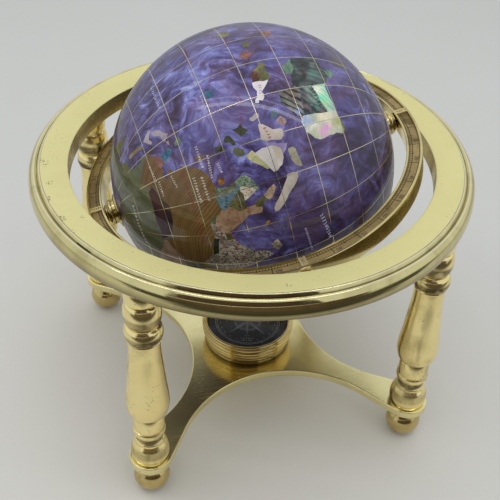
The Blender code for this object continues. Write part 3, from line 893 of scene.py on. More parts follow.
LAND = [
    # Europe and Asia
    outline(
        "25,71 31,70 41,67 38,64.5 44,66 44,68.5 54,68.5 60,69 68,68.5 67,71 72,73 75,71.5 81,73 87,75 "
        "98,76 104,77.7 113,74 119,73 129,71 131,71.5 140,72.5 151,71 160,69.8 170,70 178,69 184,67.5 "
        "190,66 186,64.5 180,65 178,62.5 170,60 164,60 163,57.5 158,51.5 156,51.5 155.5,56.5 158,60.5 "
        "150,63 142,57 134,56 133,49 135,48 134,43 132,42.7 130.5,40.5 129,39 130.2,36.3 130.6,34 "
        "128.7,33.1 127.4,34.3 126.5,36.5 124.5,38 124.5,39.7 121.5,39 121.5,40.8 118,39 122.5,37 119.5,35 "
        "121,32 119.5,29.5 118.4,27 116.6,25 114,23.3 111.6,22.4 109,22 108,20.2 107.7,18.2 108.3,14.7 "
        "109,14 109.8,12.2 109.7,10.6 108.2,9.1 106,8.2 103.3,7.3 103.3,8.6 102.4,10.4 101.3,12.4 101,13.7 "
        "98.3,13.3 98.6,10.2 99.3,9.7 101.4,5.7 103,4 103.5,2 102.5,1.5 100.8,2.4 99.2,4.1 98.8,6.5 97,8 "
        "96.4,8 95.3,8.4 95.3,10.8 95.2,13.6 93.2,16.2 91.6,19.4 90.5,21.5 88,21 85,19.5 82.3,16.7 80.2,15 "
        "80,12 79,9.5 77.5,8.1 76,11 73.5,16 72.7,20.5 70,21 69,22.5 67,24.8 61.5,25.2 57.3,26 56,27 "
        "51.5,28 50,30 48,30 50,26.5 51.5,25.5 52,24 54.5,24 56.3,26 57,24 60,22.5 58,20 55,17.3 52,15.5 "
        "45,12.8 43.3,12.8 43,16.5 39,21 38,24 35,28 34.3,28 32.5,30 32.5,31.2 34.5,31.5 36,36.5 31,36.5 "
        "27.5,37 26.5,39.5 27,40.3 24,40.8 23,39 24,38 22.5,36.7 21,38 19.5,41.5 14,45 12.5,45.5 12.5,44 "
        "16,41.8 18.5,40 16.5,40.3 16,38 15.5,40 12,42 9.5,44.3 6.5,43.2 3.2,43 3,41.8 0,39 -0.5,37.7 "
        "-2,36.8 -5.5,36 -9,37 -9.4,38.8 -8.8,43.2 -1.8,43.4 -1.2,46 -4.7,48.3 -1.5,48.8 -1.5,49.7 1.5,50.5 "
        "4.5,53 8.3,53.8 8.2,57 10.5,57.7 10,55 12,54.3 14,54 18.5,54.7 21,55.5 21.5,57.5 24,57.3 23.5,59.2 "
        "29.5,60 23,60 21.5,61.5 25,65 22.2,65.7 17.3,61 19,60 16.5,57.5 14.2,55.5 12.8,55.6 11,59 8,58 "
        "5,60 5.5,62.3 11,64.5 14,68 19,70"
    ),
    # Africa
    outline(
        "32.5,30 33.5,28 35.5,24 37.3,21 37.3,19 39.5,15.5 43,12.5 43.3,11.5 51,12 51,10.5 48,5 43,-0.5 "
        "39.5,-4.5 39,-7 40.7,-11 40.7,-15 35,-20 35.5,-24 32.8,-26 32.5,-28.5 28,-33 25.5,-34 20,-34.8 "
        "18.3,-34 18,-32 15,-27 14.3,-22 11.7,-17 13.7,-12 13,-9 12,-5 9,-1 9.7,4 8.5,4.5 6,4.3 4,6.3 "
        "-2,4.8 -7.5,4.4 -13,8.5 -15,11 -17,14.7 -16.3,19 -17,21 -14,26 -10,29 -9.7,31.5 -6,35.8 -2,35 "
        "3,36.9 10,37.3 11,34 15,32.3 19,30.3 20.5,32.7 23,32.6 29,31 32.5,31.2"
    ),
    outline("49.3,-12 50.5,-15.5 47,-25 44,-25 43.3,-22 44.5,-19.5 44.3,-16.2 47.5,-15"),
    # North and Central America
    outline(
        "-168,65.6 -166,68.3 -161,70 -156.5,71.3 -150,70.5 -141,69.6 -135,69 -128,70 -124,69.5 -115,68 "
        "-108,68 -102,67.8 -96,68.2 -94,71.8 -90,69.5 -85,69.5 -82,67.5 -86,66 -93,62 -94.5,59 -92.5,57 "
        "-88,56.5 -82.5,55.2 -82,52.8 -79.5,51.3 -79,54.5 -77,56.5 -78.5,58.8 -77.5,62.4 -73,62.3 -69.5,61 "
        "-69,58.8 -65.5,59 -64,60.3 -61.5,57 -57.5,54.5 -55.8,52.5 -59,50.5 -66,50.2 -69.5,48 -65,49 "
        "-64.8,47.5 -61,45.5 -65.8,43.5 -66.5,45 -70,43.5 -70.5,41.8 -74,40.6 -75.5,38 -76,35.2 -81,31.5 "
        "-80.2,27 -80.4,25.2 -81.8,26 -82.8,29 -84.5,30 -89.5,30 -91.5,29.3 -94.5,29.3 -97.3,27.5 "
        "-97.8,22.5 -95.5,18.6 -91.5,18.5 -90.5,21 -87,21.4 -88,18 -88.5,15.8 -83.3,15 -83.7,11 -82,9.2 "
        "-79.5,9.5 -77.5,8.5 -77.8,7.3 -80,7.4 -82.8,8.1 -85.7,10 -87.7,13 -92,14.5 -96,15.8 -101.5,17.7 "
        "-105.5,20.3 -105.5,22.5 -109.3,26 -112.8,30 -114.7,31.6 -113,28.5 -110.8,25 -109.6,23 -112,24.7 "
        "-114.5,28 -116,30.5 -117.2,32.6 -120.6,34.6 -122.5,37.5 -124.3,40.4 -124,46 -123.5,48.3 -127.5,51 "
        "-130.5,55 -135,58.8 -140,59.8 -146,60.8 -151.5,59.3 -154,58.5 -158.5,56 -163.5,54.8 -160,57 "
        "-157.5,58.8 -162,58.8 -165.5,61.5 -164.5,63.2 -161,64.5"
    ),
    outline(
        "-73,78.2 -68,80.5 -58,82.2 -45,82.5 -30,83.4 -20,81.7 -18,77 -20,73.5 -24,70.5 -32,68 -40,65 "
        "-43,60.2 -48,61 -52,65 -54,69.5 -58,74.5 -65,76.2"
    ),
    outline("-80,73.5 -75,71.5 -68,69 -62,66.5 -66,62.5 -72,64 -78,65.5 -73,68 -82,70 -89,72"),
    outline("-117,70 -115,73 -105,73 -104,69.5 -110,68.9"),
    outline("-90,76.5 -78,76.5 -64,81 -66,83 -75,83.2 -90,81.5 -92,79"),
    outline("-125,72 -120,74.3 -117,73.4 -120,71.3"),
    outline("-96,74.8 -80,74.7 -81,75.8 -96,77.2"),
    outline("-59.3,47.7 -55.5,51.5 -53,47"),
    outline("-84.8,22 -82,23.2 -77,21.7 -74.3,20.2 -77.7,19.9 -78.5,21"),
    outline("-74,18.5 -72.8,19.9 -69,19.2 -68.5,18.3 -71.5,17.8"),
    outline("-156.2,20.8 -154.6,19.6 -156,18.8"),
    # South America
    outline(
        "-77.5,8.5 -75.5,10.7 -72,12 -71.5,11 -68,10.8 -62,10.6 -59.5,8.2 -57,6 -51.5,4.5 -50,1 -48,-0.8 "
        "-44,-2.5 -39.5,-3 -35.2,-5.3 -35,-9 -38.5,-13 -39,-17.5 -41,-22 -44.5,-23 -48.5,-26 -48.8,-28.5 "
        "-52,-33 -54,-34.8 -58,-34.3 -57,-36.5 -58,-38.3 -62,-39 -65,-41 -64.5,-42.8 -67.5,-46 -65.8,-47.8 "
        "-69,-51 -68.5,-52.5 -65.5,-54.8 -69,-55.4 -74,-52.5 -75.5,-47 -72.7,-42.5 -73.6,-38 -71.6,-32 "
        "-70.3,-26 -70.3,-18.5 -76,-14 -79.5,-7.5 -81.2,-4.7 -80,-2.5 -80.6,0 -77.8,3.5 -77.8,7.3"
    ),
    outline("-61,-51.5 -58,-51.3 -58.5,-52.4 -61,-52.3"),
    # Antarctica, with its far side beyond the pole's hole
    outline(
        "-169,-78 -158,-77 -150,-76.5 -140,-75 -125,-74 -110,-74.5 -100,-72.5 -90,-73 -80,-73 -73,-71 "
        "-68,-67 -60,-63.5 -57,-63.5 -62,-66.5 -62,-72 -65,-75 -78,-77.5 -60,-79 -40,-78 -30,-76 -20,-73.5 "
        "-8,-71 0,-69.8 15,-69.5 30,-69 38,-69.8 48,-67.5 58,-67 68,-69 75,-69.5 85,-66.8 100,-65.8 "
        "115,-66.5 130,-66 145,-67 155,-69 165,-70.8 171,-71.5 168,-74 164,-77 175,-78.3 191,-78 191,-90 "
        "-169,-90"
    ),
    # north Atlantic and Arctic islands
    outline("-24,65.5 -18,66.4 -13.6,65 -18.5,63.4 -22.5,64"),
    outline("-5.5,50 1.3,51.2 1.6,52.8 -0.5,54.5 -2,57.5 -3,58.7 -5.5,58.5 -5,55.5 -3,54 -4.8,52"),
    outline("-10,52 -6,52.2 -6,54.5 -8,55.3 -10,54"),
    outline("10,79 15,80.2 27,80.3 22,78 15,76.7"),
    outline("52,71 55,74 65,77 69,76.5 58,72.5 55,70.6"),
    outline("95,79 100,81 105,79 100,78"),
    outline("137,75.5 146,76 151,75 143,73.5"),
    # Australia and its neighbours
    outline(
        "134.5,-10 134.7,-13.2 135.5,-16.4 137.5,-16.5 140,-17.3 141.5,-17 141.5,-15.6 142.8,-15.6 "
        "144.3,-15.2 145.6,-15.6 146.6,-17 147.3,-18 149,-19 149,-21 149.5,-24 150,-28 149.2,-30.6 "
        "147,-31.5 144.3,-31.3 143,-32.5 143.8,-35 143,-36 140.7,-35.5 139,-33.7 140,-33 137,-31 135,-29.3 "
        "130.5,-29.2 126.5,-29.8 124,-30 122,-30 119.5,-30.5 117,-31 114.5,-31.5 113.3,-29.5 114.3,-27 "
        "114,-25.5 114.2,-23.5 113.5,-22 113.5,-19.5 114.5,-17.5 116.5,-16.3 117.5,-15 119.5,-15 "
        "121.5,-14.2 123,-15 123.5,-15.5 124.5,-13 127.5,-11.5 130.5,-10"
    ),
    outline("147,-38.5 152,-38 158,-40 158,-46 152,-48 147,-44"),
    outline("172.7,-34.5 175.5,-36.5 178.5,-37.8 177,-39.8 175,-41.5 174,-39.3"),
    outline("173,-40.8 174.3,-41.8 171,-44 170.5,-46 168,-46.6 166.5,-46 171,-42"),
    outline(
        "141,-2.5 139,-2.6 137.1,-3.2 135,-2.4 134,-1.4 132.7,-1.1 132.5,-2.2 133.7,-2.6 133.1,-3.8 "
        "134.3,-4.7 135.4,-4.9 136.3,-4.6 137.5,-5.7 139,-7.5 140.5,-8.4 141.4,-9.9 143.1,-9.3 145.8,-9.1 "
        "148.2,-9.7 149,-8 147,-6.6 146.1,-4.9 144.8,-3.5 143.7,-3.1 142.3,-3.2"
    ),
    outline("152,-4.5 154,-2 157,-4.5 155,-7.5"),
    outline("159,-5 162,-5.5 162.5,-8 159,-7.5"),
    outline("170,-1 173,1.5 176,0 175,-3.5 171,-3"),
    outline("164,-14 169,-14.5 171,-18.5 166,-18.5"),
    # Indonesia and the Philippines
    outline("128.2,2.5 128.4,1.6 129.5,0.7 129,-0.6 127.6,-0.7 127,0.7 126.6,2 127.4,3"),
    outline(
        "125.3,0.7 124.6,-0.8 123.3,-2.3 121.7,-3.5 121.6,-5.8 120.7,-6.8 118.6,-6.6 117.6,-5.4 118.1,-3 "
        "118.5,-0.4 119.4,1.3 122,1.1 123.7,1"
    ),
    outline("118.1,1 116.7,-3.4 115.6,-6.8 113.9,-5.8 112.4,-4.2 114.8,-4.2 116,-2.4 116.7,-0.2"),
    outline("127.1,-4.5 128.4,-5.5 128.5,-6.5 127,-7.7 125.3,-6.1 126,-4.6"),
    outline("124.6,-5.8 125.8,-7.9 124.4,-9.2 123,-9 122.3,-7.8 121.3,-6.7 123,-6.9"),
    outline(
        "116,8.4 117.2,5.7 116,4.8 116.7,2 116.7,-0.2 116,-2.4 114.8,-4.2 112.4,-4.2 111.2,-4.1 109.2,-3 "
        "107.8,-0.9 107.5,0.8 109.2,1.5 109.4,2.6 111,4.1 112.5,6.1 114.2,7.6"
    ),
    outline("114,-6.4 114,-8.4 113,-9.3 110.4,-9.3 106.2,-9.7 106.6,-8.5 108.2,-7.3 110,-6.6 111.7,-6.3"),
    outline(
        "105.5,-3.5 105.5,-5.6 104.7,-7.3 103.4,-7.1 101.4,-5.6 99.6,-3.5 97,-1 95.2,1 94.2,2.8 94.1,3.9 "
        "95.4,4.1 98.1,2 101,-0.5 104.1,-3"
    ),
    outline("122.4,17.6 122.4,15.5 121,14.1 120.2,15.7 121,18"),
    outline("125,13.1 125,11.7 123.6,10.9 122.1,10.2 121,10.4 121,11.5 122.4,12.1 122.5,13.4 123.2,14.2"),
    outline("126.2,9.8 126.5,8 127.4,6.3 125.8,6.1 124.2,4.6 123.1,6.2 122.8,7.5 124.4,8.6"),
    outline("120,11 119.3,9.5 118.1,8.3 116.5,8.4 116.1,9.7 116.8,11.6 118.6,12.2"),
    outline("141,11 141,14.5 144.5,14.5 144,10 143,12"),
    # islands off the Asian coast
    outline("141.8,44 144,41.8 145,40.2 144.2,39 142,40.5 140.4,41.1 138.1,40 137.3,40.8 140.3,43.1"),
    outline(
        "142,39.3 142.2,37.4 140.2,35.1 138.2,34.1 136.8,32.7 135.4,33.4 134.2,34.9 136.4,35.6 138.4,36.3 "
        "139.7,38.2 140.8,39.1"
    ),
    outline("133.9,34.5 133.6,33.5 131.4,33.2 132.4,34.2"),
    outline("130.5,31.7 132.3,30.4 133.1,29.1 130.7,28.5 129.8,29.2 129.9,31.2"),
    outline("142.6,54.7 143.7,52.8 142.5,49 141.1,45.6 139,45.6 140,48.3 140.4,50.5 140.7,53.5"),
    outline("120,23 121,26 122.3,25.5 121.5,22"),
    outline("111,20.3 111.8,19 110.6,18.1 109,18.2 108.7,19.5 109.5,20.5"),
    outline("78.5,6 80,8.5 82.5,7.5 83,5.5 80.5,4.5"),
    outline("90.4,8.4 91.4,7.8 91.4,6.5 90.3,7.2 89.7,8.4"),
]

WATER = [
    outline(
        "28,42 28.5,44 31,46.5 33,46 33.5,44.5 36.5,45.2 37,47 39,47 37.5,45 41.5,42 41,41 36,41.5 31,41.2"
    ),
    outline(
        "47,45 50,46.8 53,46.7 53,45 51,44.5 50.5,42.5 53,41 53.8,39 53.8,37 50,37.3 49,39 50,40.3 48,42.5"
    ),
    outline("-92,46.8 -89,48.3 -85,48 -84.8,46.6 -88,46.6"),
    outline("-87.5,42 -87.8,44.5 -86,45.9 -84,46 -80,45 -82.3,43.2 -83.5,44.8 -85.5,45.2 -86.4,43.5"),
]

# which stone fills which part of the land: the first region that holds a place gives it its stone
REGIONS = [
    ("jasper", outline("88,49.5 98,50.5 108,50 116,49.7 118,47 112,45 105,41.7 97,42.8 91,45")),
    ("slate", outline("86,50.5 101,51 95,44 89,45")),
    ("cream_red", outline("106,13.7 105.8,12 104.6,9.4 103.4,8.4 101,9 100,13.6 103.2,13.2 104.7,13.9")),
    ("sea_glass", outline("107,14.3 106,13.5 105.8,12 104.6,9.4 103.3,8.6 102,6 112,8 112,14 109,15")),
    ("lichen", outline("104.5,22.4 104.5,20.4 105.1,16.5 107,14.3 109.5,14.5 108.5,22.2")),
    ("turquoise", outline(
        "104.6,23 104.5,20.4 105.1,16.5 106.5,14.3 105.4,14.6 104,15.6 102.1,18.2 100.5,20.3 99,21.4 "
        "101,22.4"
    )),
    ("moss", outline(
        "102.1,18.2 104,15.6 105.4,14.6 104.6,13.8 103,13.2 98,13.2 97.5,16.2 99.1,18.3 100.2,19.4"
    )),
    ("sand_red", outline("101.9,6.2 105,4 104,0.5 102,1 100.3,2 98.4,4.5 100.1,5.9")),
    ("moss", outline("99.8,10 101.6,6.4 100.1,5.9 98.4,4.5 97,7.6 97.6,9.9")),
    ("salmon_rose", outline(
        "98.4,23 100,21.8 99,21.4 100.2,19.4 99.1,18.3 97.5,16.2 98.4,13.3 98.4,9.8 97.4,9.8 96.6,7 94,8 "
        "93,15 90,20 89.8,22.6 91.2,25 93.8,26 97,25"
    )),
    ("moss", outline("86.8,23.2 91.5,23.5 91,20.5 87,20.5")),
    ("black_jade", outline("80,30 88,28.3 88,26.3 81,27.8")),
    ("tiger", outline(
        "74,40 78,43 83,47 88,49 91,45 97,42.5 105,41.7 112,44.5 117,46.5 120,41 122,40 124,40 125,36 "
        "126,30 124,24 118,20 110,20.8 108,21.5 106,22.5 102,22 99,22 97.5,26 94,28.5 88,27.5 81,30 78,32 "
        "76,34 74,38"
    )),
    ("tiger_grain", outline(
        "118,47 116.5,48 120,50 123,53 127,50 131,47.5 133,45 131,42.7 129,42 126,41 124,40 122,40 120,41"
    )),
    ("rose_brown", outline("124,40 126,41.5 129.5,43 131,42.5 131,39 128.5,38.3 124.5,37.7")),
    ("blue_stone", outline("124.5,37.7 128.5,38.3 131,38 131,33 125,33")),
    ("mottled_grey", outline(
        "68,24 71,28 74,31 74,34 78,35 79,31 81,30 88,27.5 92,27.7 97,28 94.5,26 92.3,22 90,22 88,15 82,4 "
        "70,15 66,22"
    )),
    ("moss", outline("61,25 61,29.5 66,30 70,33.5 72,36.5 76,35.5 74,31 71,28 68,24 66,23")),
    ("turquoise", outline("61,29.5 61,35.5 66,37.5 71,38 75,37 72,36.5 70,33.5 66,30")),
    ("lichen", outline(
        "44,39.5 48,39.5 50,37 54,37 59,37.5 61,35.5 61,29.5 62,25 56,25.5 50,28 48,30 46,33"
    )),
    ("rose_stone", outline(
        "47,48 52,51.5 61,51 62,54 70,55 77,53.5 83,51 87,49.5 83,47 80,45 80,42.5 70,42.5 66,42 58,45.5 "
        "54,42 50,44.5 49,46.5"
    )),
    ("bronzite", outline(
        "53,42 58,45.5 66,42 70,42.5 80,42.5 74,38.5 71,37.5 66,37.5 61,35.5 59,37.5 54,37 52,40"
    )),
    ("cream_shell", outline("35,29 39,32 47,29 50,26 56,22 52,17.5 43,16.5 36,27")),
    ("tiger_grain", outline("43,16.5 52,17.5 56,22 57,26 62,22 50,11 42,12")),
    ("blue_stone", outline("35.5,33 36,37 42,37.2 45,37.2 46,33 48.5,30 47,29 39,32 35,31")),
    ("mottled_grey", outline("26,35.5 25.5,41 28,42 42,41.8 44.5,39.7 44.5,37.2 36,37 30,35.8")),
    ("rose_brown", outline("40,43.5 47,42 50.5,40.5 48.5,38.3 44.5,39.7 42,41.8")),
    ("sand", outline("24,51.5 32,52 35.5,51 40,49.5 38,47 33,44 29,45.3 22.5,48.5")),
    ("black_jade", outline("13.5,46.5 22.5,48.5 29,45.5 29,41.5 26,41 25,36 20,36 18,41 13,45")),
    ("salmon", outline("7,44 7.5,46 13.5,46.5 14,45 19,40 16,37.5 11,41")),
    ("tiger", outline("6,49 6.5,53.8 14,54.5 23,54.5 24,51.5 22.5,48.5 13.5,46.5 7.5,47.5")),
    ("sea_glass", outline("-5,48.5 2,51.5 6,49.3 7.7,47.5 7,43.5 3.2,42.4 -2,43")),
    ("jasper", outline("-10,36 -10,44 -2,43.3 3.2,42.4 1,38 -2,35.5")),
    ("pale_shell", outline("4,58 5,63 15,69 25,72 31,70.3 29,69 30,62 27,60 20,57 14,55 11,58")),
    ("turquoise", outline("20,54.5 21,58 27.5,59.7 28,56 31,54 32,52 24,51.5 23,54")),
    # Africa
    ("sand", outline("-18,27 -9,37 12,38 10,30 12,24 5,19 -5,25 -9,27")),
    ("lichen", outline("10,30 12,35 25,34 25,20 15,23 12,24")),
    ("cream_shell", outline("25,20 25,34 34.5,32 38,22")),
    ("rose_stone", outline("-19,15 -18,27 -9,27 -5,25 5,19 3,12 -4,10 -12,13")),
    ("moss", outline("-19,15 -12,13 -4,10 3,12 4,4 -8,2 -17,9")),
    ("slate", outline("5,19 12,24 15,23 25,20 24,9 14,8 13,13 3,12")),
    ("rose_brown", outline("3,12 13,13 14,8 16,3 9,1 4,4")),
    ("tiger_grain", outline("24,20 38,22 44,10 34,4 24,9")),
    ("turquoise", outline("34,4 44,10 53,13 45,-1 41,4")),
    ("black_jade", outline("8,1 16,3 24,9 34,4 30,-1 30,-12 22,-12 10,-6")),
    ("salmon", outline("34,4 41,4 46,-2 42,-11 33,-9 30,-9 30,0")),
    ("bronzite", outline("10,-6 22,-12 30,-12 33,-9 33,-16 25,-18 10,-18")),
    ("sea_glass", outline("33,-9 42,-10 42,-16 36,-28 32,-27 33,-22 30,-16 33,-16")),
    ("mottled_grey", outline("10,-18 25,-18 30,-16 33,-22 28,-23 20,-28 14,-29")),
    ("tiger", outline("14,-29 20,-28 28,-23 33,-22 34,-27 28,-36 17,-36")),
    # the Americas
    ("pale_shell", outline("-170,52 -170,72.5 -141,71 -141,60 -135,59.5 -130,55.5 -133,53")),
    ("mottled_grey", outline("-141,60 -141,71 -120,73 -110,72 -110,49 -126,48 -133,53 -130,55.5 -135,59.5")),
    ("moss", outline("-110,49 -110,72 -92,73 -88,48 -95,49")),
    ("tiger", outline("-126,48.5 -110,49 -103,49 -103,31 -117,32.3 -127,38")),
    ("sea_glass", outline("-103,49 -95,49 -88,48 -88,28 -97,25 -103,31")),
    ("rose_stone", outline("-88,48 -83,46 -79,43 -70,47.5 -65,45 -74,38 -79,24 -88,28")),
    ("turquoise", outline("-119,32.5 -103,31 -97,25 -92,13 -106,16 -119,27")),
    ("salmon", outline("-97,25 -86,23 -76,7 -83,6 -92,13")),
    ("cream_shell", outline("-81,13 -60,12 -60,4 -70,0 -79,1")),
    ("slate", outline("-60,10 -50,6 -51,2 -60,2")),
    ("rose_brown", outline("-83,1 -79,1 -70,0 -70,-5 -70,-18 -83,-6")),
    ("moss", outline(
        "-70,-5 -70,0 -60,4 -60,2 -51,2 -33,-5 -38,-20 -52,-35 -57,-30 -55,-24 -58,-18 -65,-11 -72,-10"
    )),
    ("tiger_grain", outline("-70,-12 -65,-11 -58,-18 -54,-25 -63,-22 -69,-22")),
    ("blue_stone", outline("-69,-22 -62,-22 -54,-26 -55,-36 -62,-42 -63,-50 -64,-56 -72,-49 -70,-33")),
    ("jasper", outline("-83,6 -79,1 -83,-6 -70,-18 -69,-22 -70,-33 -72,-49 -64,-57 -78,-54 -78,-20")),
    ("nacre", outline("-75,84 -15,84 -15,59 -50,59 -60,74")),
    ("salmon", outline("-86,24 -73,24 -65,17 -76,17")),
    ("moss", outline("-170,23 -150,23 -150,17 -170,17")),
    ("lichen", outline("-12,50 -12,59 3,59 3,50")),
    ("sand", outline("-26,67 -12,67 -12,63 -26,63")),
    ("pale_shell", outline("-169,-60 191,-60 191,-90 -169,-90")),
    ("tiger", outline("42,-11 52,-11 52,-27 42,-27")),
    # Australia: a west of mother-of-pearl, a slate and mint middle, a layered north and a dark east
    ("green_nacre", outline("124,-31 121,-30.6 116.4,-30 113.5,-29.6 111,-31 114,-34 124,-33")),
    ("nacre", outline("112,-13 123.4,-13 123.8,-17 123.2,-23 123.4,-33 112,-33")),
    ("layered", outline("122,-8 136,-8 136,-18.5 134.2,-18.7 130.6,-17.5 127.3,-17 123.4,-16.4")),
    ("bright_mint", outline("134.9,-23.6 136,-30 122,-31 123,-26.4 127.4,-24.9 131.5,-24.6 133.2,-24")),
    ("mint_slate", outline("122,-15.5 127.3,-17 130.6,-17.5 134.2,-18.7 136,-18.5 136,-31 122,-31")),
    ("mint", outline(
        "141,-14.5 150,-18.5 148.6,-19.8 146.8,-19.3 145.6,-19.8 143.7,-19.5 142.4,-18.4 141,-17.2"
    )),
    ("mint", outline("138,-32.4 140,-32.6 143.4,-31.8 145,-35.5 138.5,-37")),
    ("paua", outline("134.6,-11 152,-11 153,-37 134.6,-37 135.3,-28 135,-20")),
    ("dark_brown", outline("146,-37 159,-37 159,-49 146,-49")),
    ("moss", outline("165,-33 180,-33 180,-48 165,-48")),
    # the islands from Japan to the Pacific
    ("lilac_grey", outline("130,32.8 130,45 147,45 147,33 136,31")),
    ("lichen", outline("128,32.8 134,33.5 134,28 128,28")),
    ("moss", outline("150,59 165,59 165,50 150,50")),
    ("sand", outline("138,45.5 146,45.5 146,56 138,56")),
    ("amber", outline("119,21 119,27 123,27 123,21")),
    ("amber", outline("107,17 107,21 112,21 112,17")),
    ("dark_moss", outline("119,4 119,19.5 128,19.5 128,4")),
    ("blue_stone", outline("140,9 140,15 145.5,15 145.5,9")),
    ("lilac_grey", outline("126,-2 126,4 130,4 130,-2")),
    ("blush_shell", outline("117,-8 117,2 126,2 126,-2 122.6,-3.6 121.7,-7.2 120,-8")),
    ("turquoise", outline("124.3,-5 127,-3 130,-5 127.5,-8.5")),
    ("blush", outline("121,-7.6 124,-5.5 126,-8.5 123.5,-10.5")),
    ("lilac_sea", outline(
        "118.6,2 117.4,-4 115.5,-8 112,-6 112.4,-4.2 114.8,-4.2 116,-2.4 116.7,-0.2 117,1.2"
    )),
    ("pale_olive", outline("117.2,5 116,4.8 114,4.2 112.3,3 109.2,1.4 107.5,2.5 117,9.5 119,7")),
    ("pale_shell", outline("107,3 107,-1.2 112,-1.6 117,-1.2 119,9")),
    ("shell", outline("107,3 107,-5.5 119,-5.5 119,9")),
    ("grey_shell", outline("106,-6 116,-6 116,-10 106,-10")),
    ("bone", outline("93,6 106.5,6 107,-8 93,-8")),
    ("white_shell", outline("131,0 141,-1 141,-5.1 140.2,-6.6 140.5,-8.6 138,-9 131,-6")),
    ("russet", outline("141,-2 145,-2.5 145.6,-5.1 144.4,-6 142.3,-6 141,-5.1")),
    ("olive", outline("141,-1 150,-3 150,-11 140.3,-11 140.5,-8.6 140.2,-6.6 141,-5.1")),
    ("rose_brown", outline("151,-1 158,-1 158,-8 151,-8")),
    ("olive", outline("158,-4 163,-4 163,-9 158,-9")),
    ("olive", outline("169,2 177,2 177,-4 169,-4")),
    ("rose_brown", outline("163,-13 172,-13 172,-19 163,-19")),
    ("amber", outline("78,9 83.5,9 83.5,4 78,4")),
    ("amber", outline("88,10 93,10 93,6 88,6")),
    ("grey_jade", outline("-20,85 -20,35 60,35 100,20 140,35 191,40 191,85")),
    ("canada_jade", outline("-170,90 -170,40 -20,40 -20,90")),
]


def on_globe(lon, lat):
    """The point or points in millimetres over a longitude and latitude."""
    lon = np.radians(np.asarray(lon, float))[..., None]
    lat = np.radians(np.asarray(lat, float))[..., None]
    unit = LON_ZERO * np.cos(lat) * np.cos(lon) + LON_NINETY * np.cos(lat) * np.sin(lon) + NORTH * np.sin(lat)
    return MIDDLE + unit * GLOBE_RADIUS


def on_map(lon, lat):
    return WEST <= lon <= EAST and -POLE_HOLE <= lat <= POLE_HOLE


def cut_line(points):
    """An outline with points at most 2 degrees apart, and the small unevenness of a stone cut by hand."""
    out = []
    for start, end in zip(points, points[1:] + points[:1]):
        steps = max(1, int(max(abs(end[0] - start[0]), abs(end[1] - start[1])) / 2.0 + 0.999))
        for step in range(steps):
            lon = start[0] + (end[0] - start[0]) * step / steps
            lat = start[1] + (end[1] - start[1]) * step / steps
            if WEST < lon < EAST and lat > -POLE_HOLE:
                shift = noise.noise_vector((lon * 0.37, lat * 0.37, 4.0))
                lon += 0.42 * shift.x
                lat += 0.36 * shift.y
            out.append((lon, lat))
    return out


def inside(polygon, lon, lat):
    """Which of the places lie inside a polygon."""
    found = np.zeros(len(lon), bool)
    corners = np.array(polygon)
    low = corners.min(0)
    high = corners.max(0)
    near = np.flatnonzero((lon > low[0]) & (lon < high[0]) & (lat > low[1]) & (lat < high[1]))
    if len(near) == 0:
        return found
    x = lon[near][:, None]
    y = lat[near][:, None]
    after = np.roll(corners, -1, 0)
    crosses = (corners[:, 1] > y) != (after[:, 1] > y)
    rise = np.where(after[:, 1] == corners[:, 1], 1.0, after[:, 1] - corners[:, 1])
    at = corners[:, 0] + (y - corners[:, 1]) / rise * (after[:, 0] - corners[:, 0])
    found[near] = (crosses & (x < at)).sum(1) % 2 == 1
    return found


def outline_edges(polygons):
    """The places and edges of all outlines, as far as they lie on the map."""
    places = []
    edges = []
    for polygon in polygons:
        numbers = {}
        for index, place in enumerate(polygon):
            if on_map(*place):
                numbers[index] = len(places)
                places.append(place)
        for index in range(len(polygon)):
            after = (index + 1) % len(polygon)
            if index in numbers and after in numbers:
                edges.append((numbers[index], numbers[after]))
    return places, edges


def grid_places(taken):
    """Places round the map's border, and a staggered grid that keeps clear of the outlines' own places."""
    places = []
    for lon in np.linspace(WEST, EAST, 121):
        places += [(lon, -POLE_HOLE), (lon, POLE_HOLE)]
    lats = np.arange(-84, 85, GRID)
    for lat in lats:
        places += [(WEST, lat), (EAST, lat)]
    filled = {(round(lon), round(lat)) for lon, lat in taken}
    for lon in np.arange(WEST + GRID, EAST - 1, GRID):
        for row, lat in enumerate(lats):
            shifted = lon + (GRID / 2 if row % 2 else 0)
            if shifted < EAST - 1 and (round(shifted), round(lat)) not in filled:
                places.append((shifted, lat))
    return places


def stones_at(lon, lat, land, water, regions):
    """The stones' names, and the number of each place's stone. The first region with a place keeps it."""
    is_land = np.zeros(len(lon), bool)
    for polygon in land:
        is_land |= inside(polygon, lon, lat)
    for polygon in water:
        is_land &= ~inside(polygon, lon, lat)
    names = ["ocean", "grey_jade"]
    stone = np.where(is_land, names.index("grey_jade"), OCEAN)
    for name, polygon in regions:
        if name not in names:
            names.append(name)
        chosen = is_land & inside(polygon, lon, lat)
        stone[chosen] = names.index(name)
        is_land &= ~chosen
    return names, stone


